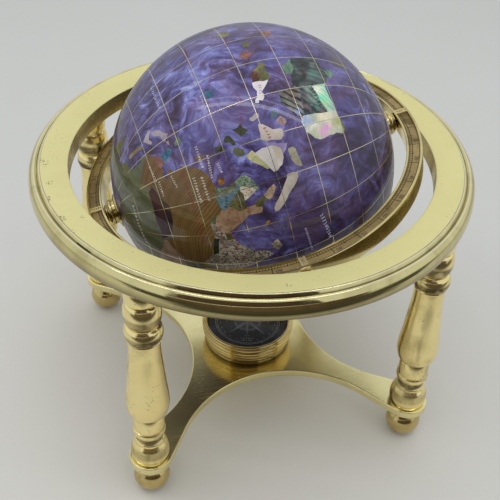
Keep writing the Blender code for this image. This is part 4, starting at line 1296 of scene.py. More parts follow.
def map_triangles():
    """Triangles over the whole globe that follow every outline, and the stone that each belongs to."""
    # without a seed this noise starts from the clock, and the outlines would differ from run to run
    noise.seed_set(OUTLINE_SEED)
    land = [cut_line(polygon) for polygon in LAND]
    water = [cut_line(polygon) for polygon in WATER]
    regions = [(stone, cut_line(polygon)) for stone, polygon in REGIONS]

    places, edges = outline_edges(land + water + [polygon for _, polygon in regions])
    places += grid_places(places)
    made = delaunay_2d_cdt([Vector(place) for place in places], edges, [], 0, 1e-5, False)
    flat = np.array([tuple(v) for v in made[0]])
    triangles = np.array([list(face) for face in made[2]])
    middle = flat[triangles].mean(1)
    names, stone = stones_at(middle[:, 0], middle[:, 1], land, water, regions)

    # points that meet at the seam become one
    space = on_globe(flat[:, 0], flat[:, 1])
    keys = {}
    index_of = np.array([keys.setdefault(tuple(np.round(p, 3)), len(keys)) for p in space])
    points = np.zeros((len(keys), 3))
    points[index_of] = space
    triangles = index_of[triangles]
    whole = (triangles[:, 0] != triangles[:, 1]) & (triangles[:, 1] != triangles[:, 2])
    whole &= triangles[:, 2] != triangles[:, 0]
    triangles = triangles[whole]
    stone = without_slivers(points, triangles, stone[whole])
    return points, triangles, names, stone


def without_slivers(points, triangles, stone):
    """Gives scraps of land between two stones to the neighbour that they share most edge with."""
    owners = {}
    for index, (a, b, c) in enumerate(triangles):
        for edge in ((a, b), (b, c), (c, a)):
            owners.setdefault(frozenset(edge), []).append(index)
    beside = [[] for _ in triangles]
    for edge, pair in owners.items():
        if len(pair) == 2:
            a, b = edge
            length = np.linalg.norm(points[a] - points[b])
            beside[pair[0]].append((pair[1], length))
            beside[pair[1]].append((pair[0], length))
    sides = points[triangles]
    areas = np.linalg.norm(np.cross(sides[:, 1] - sides[:, 0], sides[:, 2] - sides[:, 0]), axis=1) / 2
    seen = np.zeros(len(triangles), bool)
    for first in range(len(triangles)):
        if seen[first]:
            continue
        seen[first] = True
        group = [first]
        shared = {}
        for member in group:
            for other, length in beside[member]:
                if stone[other] != stone[first]:
                    shared[stone[other]] = shared.get(stone[other], 0) + length
                elif not seen[other]:
                    seen[other] = True
                    group.append(other)
        kinds = {kind: length for kind, length in shared.items() if kind != OCEAN}
        if areas[group].sum() < SCRAP_AREA and kinds and stone[first] != OCEAN:
            stone[group] = max(kinds, key=kinds.get)
    return stone


def corner_numbers(triangles, edge_owner):
    """A vertex number for each corner, shared only by triangles that meet there along an edge."""
    root = {}

    def find(key):
        while root.setdefault(key, key) != key:
            root[key] = root[root[key]]
            key = root[key]
        return key

    for (a, b), index in edge_owner.items():
        other = edge_owner.get((b, a))
        if other is not None:
            root[find((index, a))] = find((other, a))
            root[find((index, b))] = find((other, b))
    numbers = {}
    corners = []
    for index, face in enumerate(triangles):
        corners.append([numbers.setdefault(find((index, v)), len(numbers)) for v in face])
    return corners, len(numbers)


def build_stone(name, points, triangles, material):
    """One inlaid stone, or all the pieces of one kind: a closed shell with a smooth outer face."""
    edge_owner = {}
    for index, (a, b, c) in enumerate(triangles):
        for edge in ((a, b), (b, c), (c, a)):
            edge_owner[edge] = index
    corners, count = corner_numbers(triangles, edge_owner)
    top = np.zeros((count, 3))
    for face, ids in zip(triangles, corners):
        for v, number in zip(face, ids):
            top[number] = points[v]
    unit = (top - MIDDLE) / np.linalg.norm(top - MIDDLE, axis=1)[:, None]
    verts = np.vstack([MIDDLE + unit * GLOBE_RADIUS, MIDDLE + unit * (GLOBE_RADIUS - STONE_DEPTH)])
    faces = [list(ids) for ids in corners]
    normals = [tuple(unit[v]) for ids in corners for v in ids]
    for ids in corners:
        faces.append([v + count for v in ids[::-1]])
        normals += [(0, 0, 0)] * 3
    for face, ids in zip(triangles, corners):
        for place in range(3):
            after = (place + 1) % 3
            if (face[after], face[place]) not in edge_owner:
                faces.append([ids[after], ids[place], ids[place] + count, ids[after] + count])
                normals += [(0, 0, 0)] * 4
    nodes = ["globe"] if name == "ocean" else []
    add_piece("stone_" + name, verts, faces, material, "ball", "inlaid_stone", nodes, loop_normals=normals)


def ribbon(units, sides, width, closed, proud, depth=0.4):
    """A thin strip let into the globe along unit directions, with a unit sideways vector at each."""
    rows = []
    for lift, side in ((proud, 0.5), (proud, -0.5), (-depth, -0.5), (-depth, 0.5)):
        rows.append(MIDDLE + units * (GLOBE_RADIUS + lift) + sides * (side * width))
    count = len(units)
    verts = np.vstack(rows)
    faces = []
    for index in range(count if closed else count - 1):
        after = (index + 1) % count
        for row in range(4):
            here = row * count
            below = (row + 1) % 4 * count
            faces.append([here + index, below + index, below + after, here + after])
    if not closed:
        faces.append([row * count for row in range(4)][::-1])
        faces.append([row * count + count - 1 for row in range(4)])
    return [tuple(v) for v in verts], faces


def east_of(units):
    east = np.cross(NORTH, units)
    return east / np.linalg.norm(east, axis=1)[:, None]


def build_wires(brass):
    """The graticule: brass wires every 15 degrees both ways."""
    width = 0.40
    wires = []
    lats = np.linspace(-83.5, 83.5, 60)
    for lon in range(-180, 180, WIRE_SPACING):
        units = (on_globe(np.full(len(lats), lon), lats) - MIDDLE) / GLOBE_RADIUS
        wires.append(ribbon(units, -east_of(units), width, False, 0.05))
    lons = np.linspace(-180, 180, 121)[:-1]
    for lat in range(-75, 90, WIRE_SPACING):
        units = (on_globe(lons, np.full(len(lons), lat)) - MIDDLE) / GLOBE_RADIUS
        wires.append(ribbon(units, np.cross(units, east_of(units)), width, True, 0.045))
    add_piece("graticule_wires", *joined(wires), brass, "ball", "inlaid_stone")


# short strokes in a cell one unit high, none of them a letter
STROKES = [
    [(0.10, 0.05, 0.16, 0.95), (0.34, 0.15, 0.50, 0.60)],
    [(0.05, 0.55, 0.50, 0.80), (0.05, 0.20, 0.50, 0.42)],
    [(0.22, 0.00, 0.30, 0.62), (0.10, 0.85, 0.45, 0.78)],
    [(0.08, 0.90, 0.44, 0.38), (0.14, 0.06, 0.50, 0.18)],
    [(0.08, 0.25, 0.12, 0.80), (0.30, 0.00, 0.34, 0.60), (0.50, 0.30, 0.54, 0.95)],
    [(0.06, 0.10, 0.20, 0.52), (0.30, 0.90, 0.48, 0.40)],
]

# rows of strokes: ink, height in millimetres, first place and last place
ROWS = [
    ("white", 2.2, (128, 45), (119, 44)),
    ("white", 2.2, (119, 43), (111, 43)),
    ("white", 2.0, (119, 37), (113, 36)),
    ("white", 2.4, (115, 28.5), (104, 28.5)),
    ("white", 2.4, (114, 25.5), (104, 25.5)),
    ("red", 3.2, (119, 32), (111, 32)),
    ("red", 3.2, (110, 32), (101, 32)),
    ("red", 3.2, (100, 32), (86, 32)),
    ("red", 2.2, (105.5, 27), (102, 27)),
    ("white", 2.2, (126, 24), (117, 24)),
    ("white", 2.2, (121, 21), (112, 22)),
    ("white", 2.0, (117, 18.5), (113, 18)),
    ("red", 2.4, (105, 21), (107.4, 15)),
    ("red", 1.6, (106, 11), (103, 10)),
    ("red", 1.8, (98, 17), (93, 17)),
    ("red", 1.8, (99, 13), (96, 13)),
    ("red", 1.9, (93, 25), (83, 25)),
    ("red", 2.2, (92, 21), (82, 20)),
    ("red", 1.8, (79, 20), (76, 19)),
    ("red", 2.4, (139.5, -5), (135.5, -4)),
    ("red", 2.8, (123.6, -1), (117.5, -2)),
    ("red", 2.2, (125, -7.8), (121.6, -7.4)),
    ("black", 2.8, (104, 19), (99.8, 20.5)),
    ("black", 3.4, (134.2, -23.4), (125.6, -24.2)),
    ("pale", 3.2, (166, 32), (150, 32)),
    ("pale", 2.0, (162, 16), (149, 16)),
    ("pale", 2.0, (144, 16), (136, 16)),
    ("pale", 3.4, (87, -12), (75, -14)),
    ("pale", 2.0, (84, -5), (73, -6)),
    ("red", 1.8, (175, 14), (165, 15)),
    ("red", 1.8, (154, 8), (146, 12)),
    ("red", 1.8, (169, -1), (162, 0)),
    ("red", 1.6, (131, 5), (126, 6)),
    ("red", 1.6, (122, 8), (119, 8)),
    ("red", 1.6, (159, -15), (154, -14)),
    ("red", 1.6, (147, -14), (143, -14)),
    ("red", 1.6, (139, 33), (134, 33)),
    ("red", 1.6, (139, 4), (134, 3)),
    ("white", 3.4, (112, 62), (78, 61)),
    ("black", 2.0, (74, 49), (58, 49)),
    ("white", 1.8, (58, 33), (48, 33)),
    ("red", 1.9, (52, 21), (42, 21)),
    ("red", 2.2, (25, 27), (14, 28)),
    ("black", 2.2, (8, 28), (-4, 29)),
    ("white", 2.4, (26, -2), (15, -2)),
    ("black", 2.0, (27, -25), (18, -25)),
    ("pale", 3.4, (-22, 32), (-42, 31)),
    ("pale", 3.4, (-8, -22), (-28, -22)),
    ("white", 2.6, (-90, 56), (-112, 57)),
    ("black", 2.8, (-84, 38), (-108, 39)),
    ("red", 2.8, (-42, -10), (-58, -11)),
    ("white", 2.2, (-61, -34), (-68, -35)),
    ("pale", 3.6, (-118, 12), (-142, 11)),
    ("pale", 3.6, (-92, -28), (-118, -28)),
    ("white", 2.4, (-36, 74), (-50, 73)),
    ("red", 3.0, (120, -76), (60, -77)),
    ("pale", 3.0, (-150, -40), (-168, -40)),
    ("white", 1.8, (46, 55), (34, 56)),
    ("red", 1.6, (26, 52), (12, 52)),
    ("black", 1.6, (4, 47), (-2, 47)),
]


def build_rows(inks):
    """Rows of shallow printed strokes where a globe has its names."""
    shapes = {name: [] for name in inks}
    for row, (ink, size, first, last) in enumerate(ROWS):
        height = 0.86 * size
        start = on_globe(*first) - MIDDLE
        end = on_globe(*last) - MIDDLE
        cells = max(2, int(np.linalg.norm(end - start) / (0.82 * height)))
        for cell in range(cells):
            unit = start + (end - start) * (cell + 0.5) / cells
            unit /= np.linalg.norm(unit)
            ahead = end - start
            ahead = ahead - unit * (ahead @ unit)
            ahead /= np.linalg.norm(ahead)
            up = np.cross(unit, ahead)
            pattern = STROKES[(cell * 5 + row * 3 + (cell * cell) // 3) % len(STROKES)]
            shapes[ink] += [stroke_on_globe(unit, ahead, up, stroke, height) for stroke in pattern]
    for ink, material in inks.items():
        add_piece("print_" + ink, *joined(shapes[ink]), material, "ball", "inlaid_stone")


def stroke_on_globe(unit, ahead, up, stroke, height):
    """One printed stroke of a cell: a thin box that is bent with the globe's surface."""
    x1, y1, x2, y2 = stroke
    a = np.array((x1 - 0.3, y1 - 0.5)) * height
    b = np.array((x2 - 0.3, y2 - 0.5)) * height
    half = np.array((a[1] - b[1], b[0] - a[0]))
    half *= 0.08 * height / np.linalg.norm(half)
    low = []
    high = []
    for x, y in (a - half, b - half, b + half, a + half):
        place = unit * GLOBE_RADIUS + ahead * x + up * y
        place /= np.linalg.norm(place)
        low.append(tuple(MIDDLE + place * (GLOBE_RADIUS - 0.1)))
        high.append(tuple(MIDDLE + place * (GLOBE_RADIUS + 0.04)))
    faces = [[3, 2, 1, 0], [4, 5, 6, 7], [0, 1, 5, 4], [1, 2, 6, 5], [2, 3, 7, 6], [3, 0, 4, 7]]
    return low + high, faces


# ---------------------------------------------------------------- the stones


def polished(name):
    """A stone under the hard, clear polish that covers the whole globe."""
    recipe = Recipe("stone_" + name, roughness=0.38, coat=0.38, coat_roughness=0.045, specular=0.1)
    recipe.shader.inputs["Coat IOR"].default_value = 1.7
    return recipe


# paler and darker pools of the ocean: longitude, latitude, reach in millimetres and change of tone
OCEAN_POOLS = ((139, 20, 26, 0.07), (128, 27, 18, 0.02), (158, 34, 34, -0.07), (92, -36, 36, -0.05),
               (88, 3, 30, -0.02), (162, -16, 24, -0.02), (100, -14, 16, 0.03), (170, 15, 20, -0.02),
               (142, 50, 26, -0.04), (156, -27, 26, -0.015), (146, -2, 14, 0.03), (105, -4, 26, -0.02))


def make_ocean():
    """Violet-blue pearl stone: silky folds that turn light blue where they catch the light."""
    recipe = polished("ocean")
    recipe.shader.inputs["Metallic"].default_value = 0.15
    first = recipe.warped(17.0, 0.046, 2.0)
    second = recipe.warped(48.0, 0.019, 3.0, first)
    drawn_out = recipe.stretched((0.75, 1.8, 1.25), (0.2, -0.3, 0.25), second)
    silk = recipe.noise(98.0, 5.0, 0.56, 0.45, drawn_out)
    clouds = recipe.noise(38.0, 4.0, 0.55, 0.7, first)
    fine = recipe.noise(560.0, 3.0, 0.6, 0.0, drawn_out)
    veil = recipe.ramp(recipe.noise(21.0, 3.0, 0.5, 0.4, first), [(0.42, 0.26), (0.62, 0.72)])
    mixed = recipe.sum(recipe.sum(recipe.sum(silk, 0.5, "SUBTRACT"), veil, "MULTIPLY"), 0.23)
    mixed = recipe.sum(mixed, recipe.sum(clouds, 0.40, "MULTIPLY"))
    mixed = recipe.sum(mixed, recipe.sum(fine, 0.12, "MULTIPLY"))
    broad = recipe.noise(9.0, 2.0, 0.5, 0.4)
    mixed = recipe.sum(mixed, recipe.sum(recipe.sum(broad, 0.5, "SUBTRACT"), 0.22, "MULTIPLY"))
    # painted light and sheen: the ocean is made paler towards the west Pacific, the side that catches the light
    lit_side = (on_globe(145, 12) - MIDDLE) / GLOBE_RADIUS
    from_middle = recipe.vector_sum(recipe.coords, tuple(CENTRE * MM), "SUBTRACT")
    pale = recipe.sum(recipe.along(tuple(lit_side), from_middle), 0.080, "SUBTRACT")
    mixed = recipe.sum(mixed, recipe.sum(pale, 1.3, "MULTIPLY"))
    for lon, lat, reach, lift in OCEAN_POOLS:
        pool = recipe.ramp(recipe.share_of_reach(on_globe(lon, lat), reach, first), [(0.1, 1.0), (1.0, 0.0)])
        mixed = recipe.sum(mixed, recipe.sum(pool, lift, "MULTIPLY"))
    blue = [(0.34, "2E2436"), (0.43, "40355A"), (0.51, "565084"), (0.60, "787AB4"), (0.69, "A6ACE0")]
    violet = [(0.34, "382838"), (0.49, "5C4A6E"), (0.60, "8074A4"), (0.70, "AAA2CE")]
    purple = recipe.ramp(recipe.noise(26.0, 2.0, 0.5, 1.0), [(0.44, 0.0), (0.62, 0.85)])
    recipe.colour(recipe.mix(purple, recipe.ramp(mixed, blue), recipe.ramp(mixed, violet)))
    recipe.rough(silk, 0.30, 0.5)
    recipe.bump([(silk, 0.00006)])
    return recipe.material


def make_mottled(name, dark, middle, light, scale, stretch=(1, 1, 1), turn=(0, 0, 0), specks=None, level=0.0):
    """Stone with soft clouds of three tones, and specks where a fine noise is above a level."""
    recipe = polished(name)
    place = recipe.stretched(stretch, turn, recipe.warped(scale * 0.5, 0.35 / scale))
    clouds = recipe.noise(scale, 5.0, 0.62, 0.4, place)
    tone = recipe.ramp(clouds, [(0.36, dark), (0.50, middle), (0.64, light)])
    if specks:
        grains = recipe.noise(scale * 5.5, 3.0, 0.6, 0.6)
        tone = recipe.mix(recipe.ramp(grains, [(level - 0.04, 0.0), (level + 0.03, 1.0)]), tone, specks)
    recipe.colour(tone)
    recipe.rough(clouds, 0.30, 0.46)
    recipe.bump([(clouds, 0.00003)])
    return recipe.material


def make_tiger(name, dark, middle, light, length, waver):
    """Banded stone: fine dark lines like wood grain that bend and crowd together."""
    recipe = polished(name)
    place = recipe.warped(11.0, waver * 1.6, 2.0)
    distance = recipe.along(tuple(ACROSS), place)
    uneven = recipe.sum(recipe.noise(34.0, 3.0, 0.5, 0.0, place), 16.0, "MULTIPLY")
    bands = recipe.wave(distance, length, uneven)
    fine = recipe.wave(distance, length * 0.37, recipe.sum(uneven, 2.3, "MULTIPLY"))
    broad = recipe.wave(distance, length * 4.3, recipe.sum(uneven, 0.6, "MULTIPLY"))
    both = recipe.sum(recipe.sum(bands, 0.55, "MULTIPLY"), recipe.sum(fine, 0.20, "MULTIPLY"))
    both = recipe.sum(both, recipe.sum(broad, 0.25, "MULTIPLY"))
    tone = recipe.ramp(both, [(0.16, dark), (0.46, middle), (0.86, light)])
    shade = recipe.ramp(recipe.noise(24.0, 3.0, 0.5, 0.5), [(0.42, 0.0), (0.72, 0.55)])
    recipe.colour(recipe.mix(shade, tone, dark))
    recipe.rough(both, 0.28, 0.42)
    recipe.bump([(both, 0.00003)])
    return recipe.material


def make_shell(name, base, tints, scale, direction, length, streak, dark="2A3230", glows=()):
    """Mother-of-pearl: broad tints that flow into each other, glows at set places, and fine growth lines."""
    recipe = polished(name)
    recipe.shader.inputs["Metallic"].default_value = 0.2
    place = recipe.warped(scale * 0.6, 0.6 / scale)
    tone = base
    for index, tint in enumerate(tints):
        turned_place = recipe.stretched((1, 1, 1), (index * 1.3, index, 0.4), place)
        field = recipe.noise(scale * (1.0 + 0.23 * index), 3.0, 0.5, 0.7, turned_place)
        tone = recipe.mix(recipe.ramp(field, [(0.50, 0.0), (0.60, 1.0)]), tone, tint)
    ragged = recipe.warped(130.0, 0.010)
    for lon, lat, reach, tint in glows:
        near = recipe.ramp(recipe.share_of_reach(on_globe(lon, lat), reach, ragged), [(0.15, 0.95), (1.0, 0.0)])
        tone = recipe.mix(near, tone, tint)
    uneven = recipe.sum(recipe.noise(scale, 3.0, 0.5, 0.0, place), 10.0, "MULTIPLY")
    lines = recipe.wave(recipe.along(direction, place), length, uneven)
    recipe.colour(recipe.mix(recipe.ramp(lines, [(0.0, streak), (0.45, 0.0)]), tone, dark))
    recipe.rough(lines, 0.22, 0.38)
    recipe.bump([(lines, 0.00004)])
    return recipe.material


# speckled stones: dark, middle and light tone, scale, tone of the specks and their level
SPECKLED = {
    "jasper": ("23191D", "312227", "47242A", 85.0, "49161D", 0.63),
    "slate": ("3A3846", "474253", "565663", 95.0, "2D2734", 0.64),
    "rose_brown": ("613932", "774B46", "8E605D", 150.0, "6F532D", 0.6),
    "blue_stone": ("244963", "305A73", "497487", 160.0, "203344", 0.62),
    "lichen": ("44513D", "616C58", "7A846C", 170.0, "304434", 0.57),
    "amber": ("5D3814", "7C5325", "956D38", 180.0, "47280E", 0.62),
    "dark_moss": ("2C2C19", "3B3A23", "4B4A2D", 120.0, "232C18", 0.58),
    "sea_glass": ("596C55", "727F68", "8C907C", 130.0, "375443", 0.555),
    "cream_shell": ("988D7A", "A79D8E", "B3AAA0", 90.0, "8E7861", 0.63),
    "turquoise": ("3C4A54", "4A5C66", "5E7880", 130.0, "3A7482", 0.6),
    "bronzite": ("2D2D1E", "3C3C2A", "4C4834", 140.0, "222118", 0.6),
    "rose_stone": ("735547", "866A59", "987F6F", 90.0, "634944", 0.64),
    "moss": ("3D3B1E", "504B2B", "615B38", 110.0, "2F2E1B", 0.6),
    "mottled_grey": ("756D5E", "958878", "B1A394", 120.0, "4F473F", 0.53),
    "sand": ("776749", "897A5D", "988C72", 90.0, "6F5B37", 0.63),
    "salmon": ("7C5B38", "916E4E", "A18566", 130.0, "6F4D2A", 0.61),
    "blush": ("876D6D", "9B827F", "A8948E", 140.0, "705354", 0.61),
    "olive": ("4E4B2D", "63603D", "77724A", 100.0, "474425", 0.61),
    "grey_shell": ("7A735F", "8D8671", "A19984", 90.0, "6A6351", 0.61),
    "russet": ("3D2114", "563420", "6B4B2D", 150.0, "3A1711", 0.56),
    "pale_olive": ("8A875E", "A09C70", "B2AC82", 100.0, "7C7850", 0.62),
    "cream_red": ("A69A84", "B5AB9A", "C0B7AA", 150.0, "7A4038", 0.585),
    "sand_red": ("84725C", "968369", "A6957C", 150.0, "7A4034", 0.6),
    "salmon_rose": ("70553F", "866A50", "97806A", 90.0, "6E4038", 0.63),
}

# clouded stones: dark, middle and light tone, scale, and how the clouds are stretched and turned
CLOUDED = {
    "grey_jade": ("444730", "55573F", "666854", 55.0, (1.0, 1.0, 2.2), (0, 0.5, 0.3)),
    "canada_jade": ("3C4638", "4E5945", "6B7461", 60.0, (1.0, 2.0, 1.0), (0.4, 0, 0.3)),
    "lilac_grey": ("857A82", "988C93", "A79C9E", 110.0, (1, 1, 1), (0, 0, 0)),
    "black_jade": ("0F1611", "1A2019", "283124", 80.0, (1, 1, 1), (0, 0, 0)),
    "shell": ("A29682", "B2A89A", "BFB7AD", 45.0, (1, 1, 2), (0.3, 0.8, 0)),
    "bone": ("978B7D", "A79C8F", "B4ABA1", 60.0, (1, 2, 1), (0, 0, 0.5)),
    "white_shell": ("B8B1B3", "C6BFC3", "D0CBCF", 50.0, (1, 1, 2), (0.2, 0.4, 0)),
    "pale_shell": ("9E958E", "ADA59E", "BAB2AE", 45.0, (1, 2, 1), (0.2, 0.4, 0)),
    "dark_brown": ("3C3240", "483E4A", "544A52", 70.0, (1, 1, 1), (0, 0, 0)),
    "lilac_sea": ("6C6086", "827498", "988CAA", 60.0, (1, 1, 2), (0.4, 0.2, 0)),
    "blush_shell": ("9E8F86", "AEA097", "BBB0A8", 60.0, (1, 1, 2), (0.4, 0.2, 0)),
}

# glows of the five bright shells of Australia: longitude, latitude, reach in millimetres and colour
NACRE_GLOWS = ((121.9, -15.9, 8.0, "8FA3C6"), (115.0, -16.0, 6.0, "98A27E"), (121.3, -24.1, 6.0, "E2D8BA"),
               (118.4, -29.4, 5.5, "A2A464"), (119.0, -19.0, 4.0, "DCDAD0"), (116.2, -21.6, 4.0, "DC9CC8"),
               (117.4, -23.8, 4.6, "D492CE"), (118.0, -25.6, 3.4, "E4C6B4"))
MINT_GLOWS = ((129.2, -25.8, 6.0, "86E0B4"), (126.3, -25.9, 4.4, "AECB92"), (124.9, -28.6, 4.0, "9EA6AC"),
              (133.0, -26.2, 5.4, "F2ECD6"))
LAYERED_GLOWS = ((131.2, -10.7, 4.5, "55614A"), (125.0, -14.7, 4.2, "7C92C2"), (131.0, -15.8, 3.5, "7E6A64"))
PAUA_GLOWS = ((147.5, -24.0, 9.0, "2C3031"), (141.7, -23.0, 4.0, "4A2C2E"), (140.8, -26.6, 6.2, "62857C"),
              (146.0, -27.8, 4.0, "707C78"), (136.1, -30.2, 2.6, "A8B0A8"))
SLATE_GLOWS = ((129.6, -22.6, 6.0, "7E9A8E"), (126.2, -22.5, 4.5, "5E8678"), (133.4, -21.4, 4.0, "86A496"),
               (126.5, -18.6, 3.0, "74605E"))

# shells: base tone, further tints, scale, direction and spacing of the growth lines, their strength and
# their tone, and the glows
AXIS = tuple(NORTH)
ASKEW = tuple(NORTH * 0.9 + ACROSS * 0.42)
SLANT = tuple(ACROSS * 0.8 - NORTH * 0.6)
SHELLS = {
    "green_nacre": ("6C7444", ["8E9060", "56603C"], 110.0, ASKEW, 0.0026, 0.5),
    "bright_mint": ("86CCAC", ["A8D4B4", "7CC0A0"], 110.0, SLANT, 0.0026, 0.25, "3A6458", MINT_GLOWS),
    "layered": ("5A5852", ["6E6258", "454A4A", "7C7872"], 90.0, SLANT, 0.0040, 1.0, "121314", LAYERED_GLOWS),
    "paua": ("3A403E", ["484F4C", "2A2F30", "525C5A"], 60.0, tuple(ACROSS), 0.0042, 0.45, "1A1D1E", PAUA_GLOWS),
    "mint": ("6A8C74", ["7C9E86", "5A7462"], 80.0, AXIS, 0.0040, 0.3),
    "mint_slate": ("46545A", ["58706E", "6A5E62", "2E383C"], 100.0, SLANT, 0.0040, 0.55, "1A1F22", SLATE_GLOWS),
    "nacre": ("BDBBA6", ["CFCBB4", "A9B09C"], 90.0, ASKEW, 0.0023, 0.09, "6C7466", NACRE_GLOWS),
}


def make_stones():
    """Every kind of stone on the globe, by its name."""
    stones = {"ocean": make_ocean()}
    for name, (dark, middle, light, scale, specks, level) in SPECKLED.items():
        stones[name] = make_mottled(name, dark, middle, light, scale, specks=specks, level=level)
    for name, (dark, middle, light, scale, stretch, turn) in CLOUDED.items():
        stones[name] = make_mottled(name, dark, middle, light, scale, stretch, turn)
    stones["tiger"] = make_tiger("tiger", "543F22", "664D2B", "745A35", 0.0012, 0.014)
    stones["tiger_grain"] = make_tiger("tiger_grain", "4E361C", "674928", "7A5933", 0.0013, 0.024)
    for name, values in SHELLS.items():
        stones[name] = make_shell(name, *values)
    return stones


# ---------------------------------------------------------------- floor, light and camera, in metres


def stage(item):
    """Puts an item that is no part of the object into the scene."""
    bpy.context.scene.collection.objects.link(item)
    return item


def build_floor():
    """A round grey floor, with a painted pool of warm, brighter light close to the object."""
    mesh = bpy.data.meshes.new("floor")
    rim = [(*polar(14, bearing), 0) for bearing in range(0, 360, 5)]
    mesh.from_pydata(rim, [], [tuple(range(len(rim)))])
    recipe = Recipe("floor", 0.6, specular=0.0)
    plain = recipe.mix(recipe.noise(4.0, 2.0), "CAC9C4", "D0CFCC")
    # painted light: warm light thrown back by the brass onto the floor near the object
    close = recipe.ramp(recipe.length_of(recipe.coords), [(0.09, 0.8), (0.30, 0.0)])
    recipe.colour(recipe.mix(close, plain, "E2DCCF"))
    recipe.bump([(recipe.noise(900.0, 3.0), 0.00004)])
    mesh.materials.append(recipe.material)
    stage(bpy.data.objects.new("floor", mesh))


def build_flag(name, corners, near, far, fade):
    """A cloth that shows only as a reflection in the brass. Its tone goes from far to near between two Y."""
    start, end = fade
    mesh = bpy.data.meshes.new(name)
    mesh.from_pydata(corners, [], [(0, 1, 2, 3)])
    recipe = Recipe(name, 0.8)
    woven = recipe.mix(recipe.noise(700.0, 2.0), far, "3A322C")
    faded = recipe.sum(recipe.sum(recipe.along((0, 1, 0)), start, "SUBTRACT"), 1 / (end - start), "MULTIPLY")
    recipe.colour(recipe.mix(recipe.ramp(faded, [(0.0, 0.0), (1.0, 1.0)]), woven, near))
    mesh.materials.append(recipe.material)
    item = bpy.data.objects.new(name, mesh)
    item.visible_camera = False
    item.visible_diffuse = False
    item.visible_shadow = False
    stage(item)


def upright(start, end, bottom, top):
    """The corners of a wall between two places on the floor."""
    return [(*start, bottom), (*end, bottom), (*end, top), (*start, top)]


def add_light(name, place, target, width, height, watts, heading=0.0, colour=(1, 1, 1)):
    light = bpy.data.lights.new(name, "AREA")
    light.shape = "RECTANGLE"
    light.size = width
    light.size_y = height
    light.energy = watts
    light.color = colour
    item = bpy.data.objects.new(name, light)
    item.location = place
    item.rotation_mode = "QUATERNION"
    aim = (Vector(target) - Vector(place)).to_track_quat("-Z", "Y")
    item.rotation_quaternion = Quaternion((0, 0, 1), radians(heading)) @ aim
    return stage(item)


def build_world():
    world = bpy.data.worlds.new("studio")
    world.use_nodes = True
    background = world.node_tree.nodes["Background"]
    background.inputs["Color"].default_value = (0.92, 0.96, 1.0, 1.0)
    background.inputs["Strength"].default_value = 0.79
    bpy.context.scene.world = world


def build_lights():
    """Two tubes that draw bright lines on the brass, a soft light that it doesn't mirror, and three cloths."""
    add_light("tube_near", (-0.14, -0.18, 1.5), (-0.14, -0.18, 0), 1.9, 0.07, 2.0, -26)
    add_light("tube_far", (-0.09, -0.07, 1.5), (-0.09, -0.07, 0), 1.9, 0.03, 0.5, -26)
    soft = add_light("soft_top", (-0.07, -0.10, 1.20), (0, 0, 0.1), 0.9, 0.9, 3.8, colour=(1.0, 0.98, 0.95))
    soft.visible_glossy = False
    floor_cloth = [(-1.4, -0.90, 0.003), (1.4, -0.90, 0.003), (1.4, -0.285, 0.003), (-1.4, -0.285, 0.003)]
    build_flag("floor_cloth", floor_cloth, "C8C6C0", "4A463C", (-0.40, -0.29))
    raised = upright((-0.80, -0.64), (0.24, -0.97), 0.42, 1.25)
    build_flag("raised_cloth", raised, "503A2C", "34241A", (-1.0, -0.6))
    low = upright((-1.0, -0.80), (0.6, -0.92), 0.0, 0.37)
    build_flag("low_cloth", low, "75604A", "665240", (-1.0, -0.7))


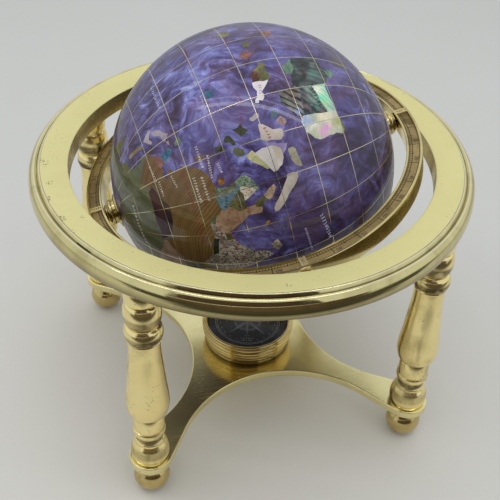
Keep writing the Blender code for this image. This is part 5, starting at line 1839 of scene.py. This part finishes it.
def build_camera():
    """The photo's own viewpoint, as it was solved from the object's outlines."""
    place = (-0.1760, -0.5480, 0.6125)
    azimuth = radians(72.11)
    pitch = radians(39.80)
    roll = radians(2.34)
    camera = bpy.data.cameras.new("camera")
    camera.lens = 65.47
    camera.sensor_width = 36.0
    camera.clip_start = 0.05
    camera.clip_end = 30.0
    item = bpy.data.objects.new("camera", camera)
    ahead = Vector((cos(azimuth) * cos(pitch), sin(azimuth) * cos(pitch), -sin(pitch)))
    right = Vector((sin(azimuth), -cos(azimuth), 0))
    up = right.cross(ahead)
    x_axis = cos(roll) * right + sin(roll) * up
    y_axis = cos(roll) * up - sin(roll) * right
    turn = Matrix((x_axis, y_axis, -ahead)).transposed().to_4x4()
    item.matrix_world = Matrix.Translation(place) @ turn
    bpy.context.scene.collection.objects.link(item)
    bpy.context.scene.camera = item


# ---------------------------------------------------------------- building it


scale_brass = make_brass("scale_brass", "AA935E", "685732", 0.36, 1.0, stains=0.9, pits=1.0, metallic=0.6)
wall_brass = make_brass("wall_brass", "C2B076", "94824E", 0.24, 0.7, stains=0.4, metallic=0.85)
build_horizon_ring(make_satin_brass(), make_edge_brass(), wall_brass)
build_legs(make_leg_brass(), make_brass("foot_brass", "D8C286", "9C8650", 0.14, 0.7, stains=0.5, pits=0.6))
build_plate(make_brass("plate_brass", "F6EAB0", "E0D296", 0.18, 0.6, stains=0.08, scratches=0.45))
build_gimbal_pivots(make_brass("pin_brass", "F2EFE4", "DCD6C4", 0.14, 0.5, stains=0.1, metallic=0.7))
build_pole_pivots(make_brass("pivot_brass", "DCCB92", "B29C62", 0.14, 0.6, stains=0.3))
ring_brass = make_brass("ring_brass", "E6D498", "BCA86C", 0.12, 0.6, stains=0.3, pits=0.3, grain=0.08)
bar_brass = make_brass("bar_brass", "E6D49A", "C0A870", 0.18, 0.7, stains=0.3, metallic=0.7)
build_graduated_ring(ring_brass, scale_brass, bar_brass, make_ink("scale_ink", "1E150A"))
build_compass_case(make_bowl_brass(), make_glass())
dial_face = make_ink("dial_face", "0E1216", 0.35)
build_compass_card(dial_face, make_ink("dial_print", "D4D8DA"), make_ink("dial_rim", "1E2C5C", 0.4))

stones = make_stones()
points, triangles, stone_names, stone_of = map_triangles()
for number, name in enumerate(stone_names):
    chosen = triangles[stone_of == number].tolist()
    if chosen:
        build_stone(name, points, chosen, stones[name])
build_wires(make_brass("wire_brass", "E4DABA", "A08E64", 0.24, 0.8))
INKS = {"white": "E6DFD2", "pale": "BDBEDC", "red": "8A1420", "black": "1E1C1C"}
build_rows({name: make_ink("print_" + name, code) for name, code in INKS.items()})

build_world()
build_floor()
build_lights()
build_camera()
bpy.context.scene.view_settings.view_transform = "Standard"
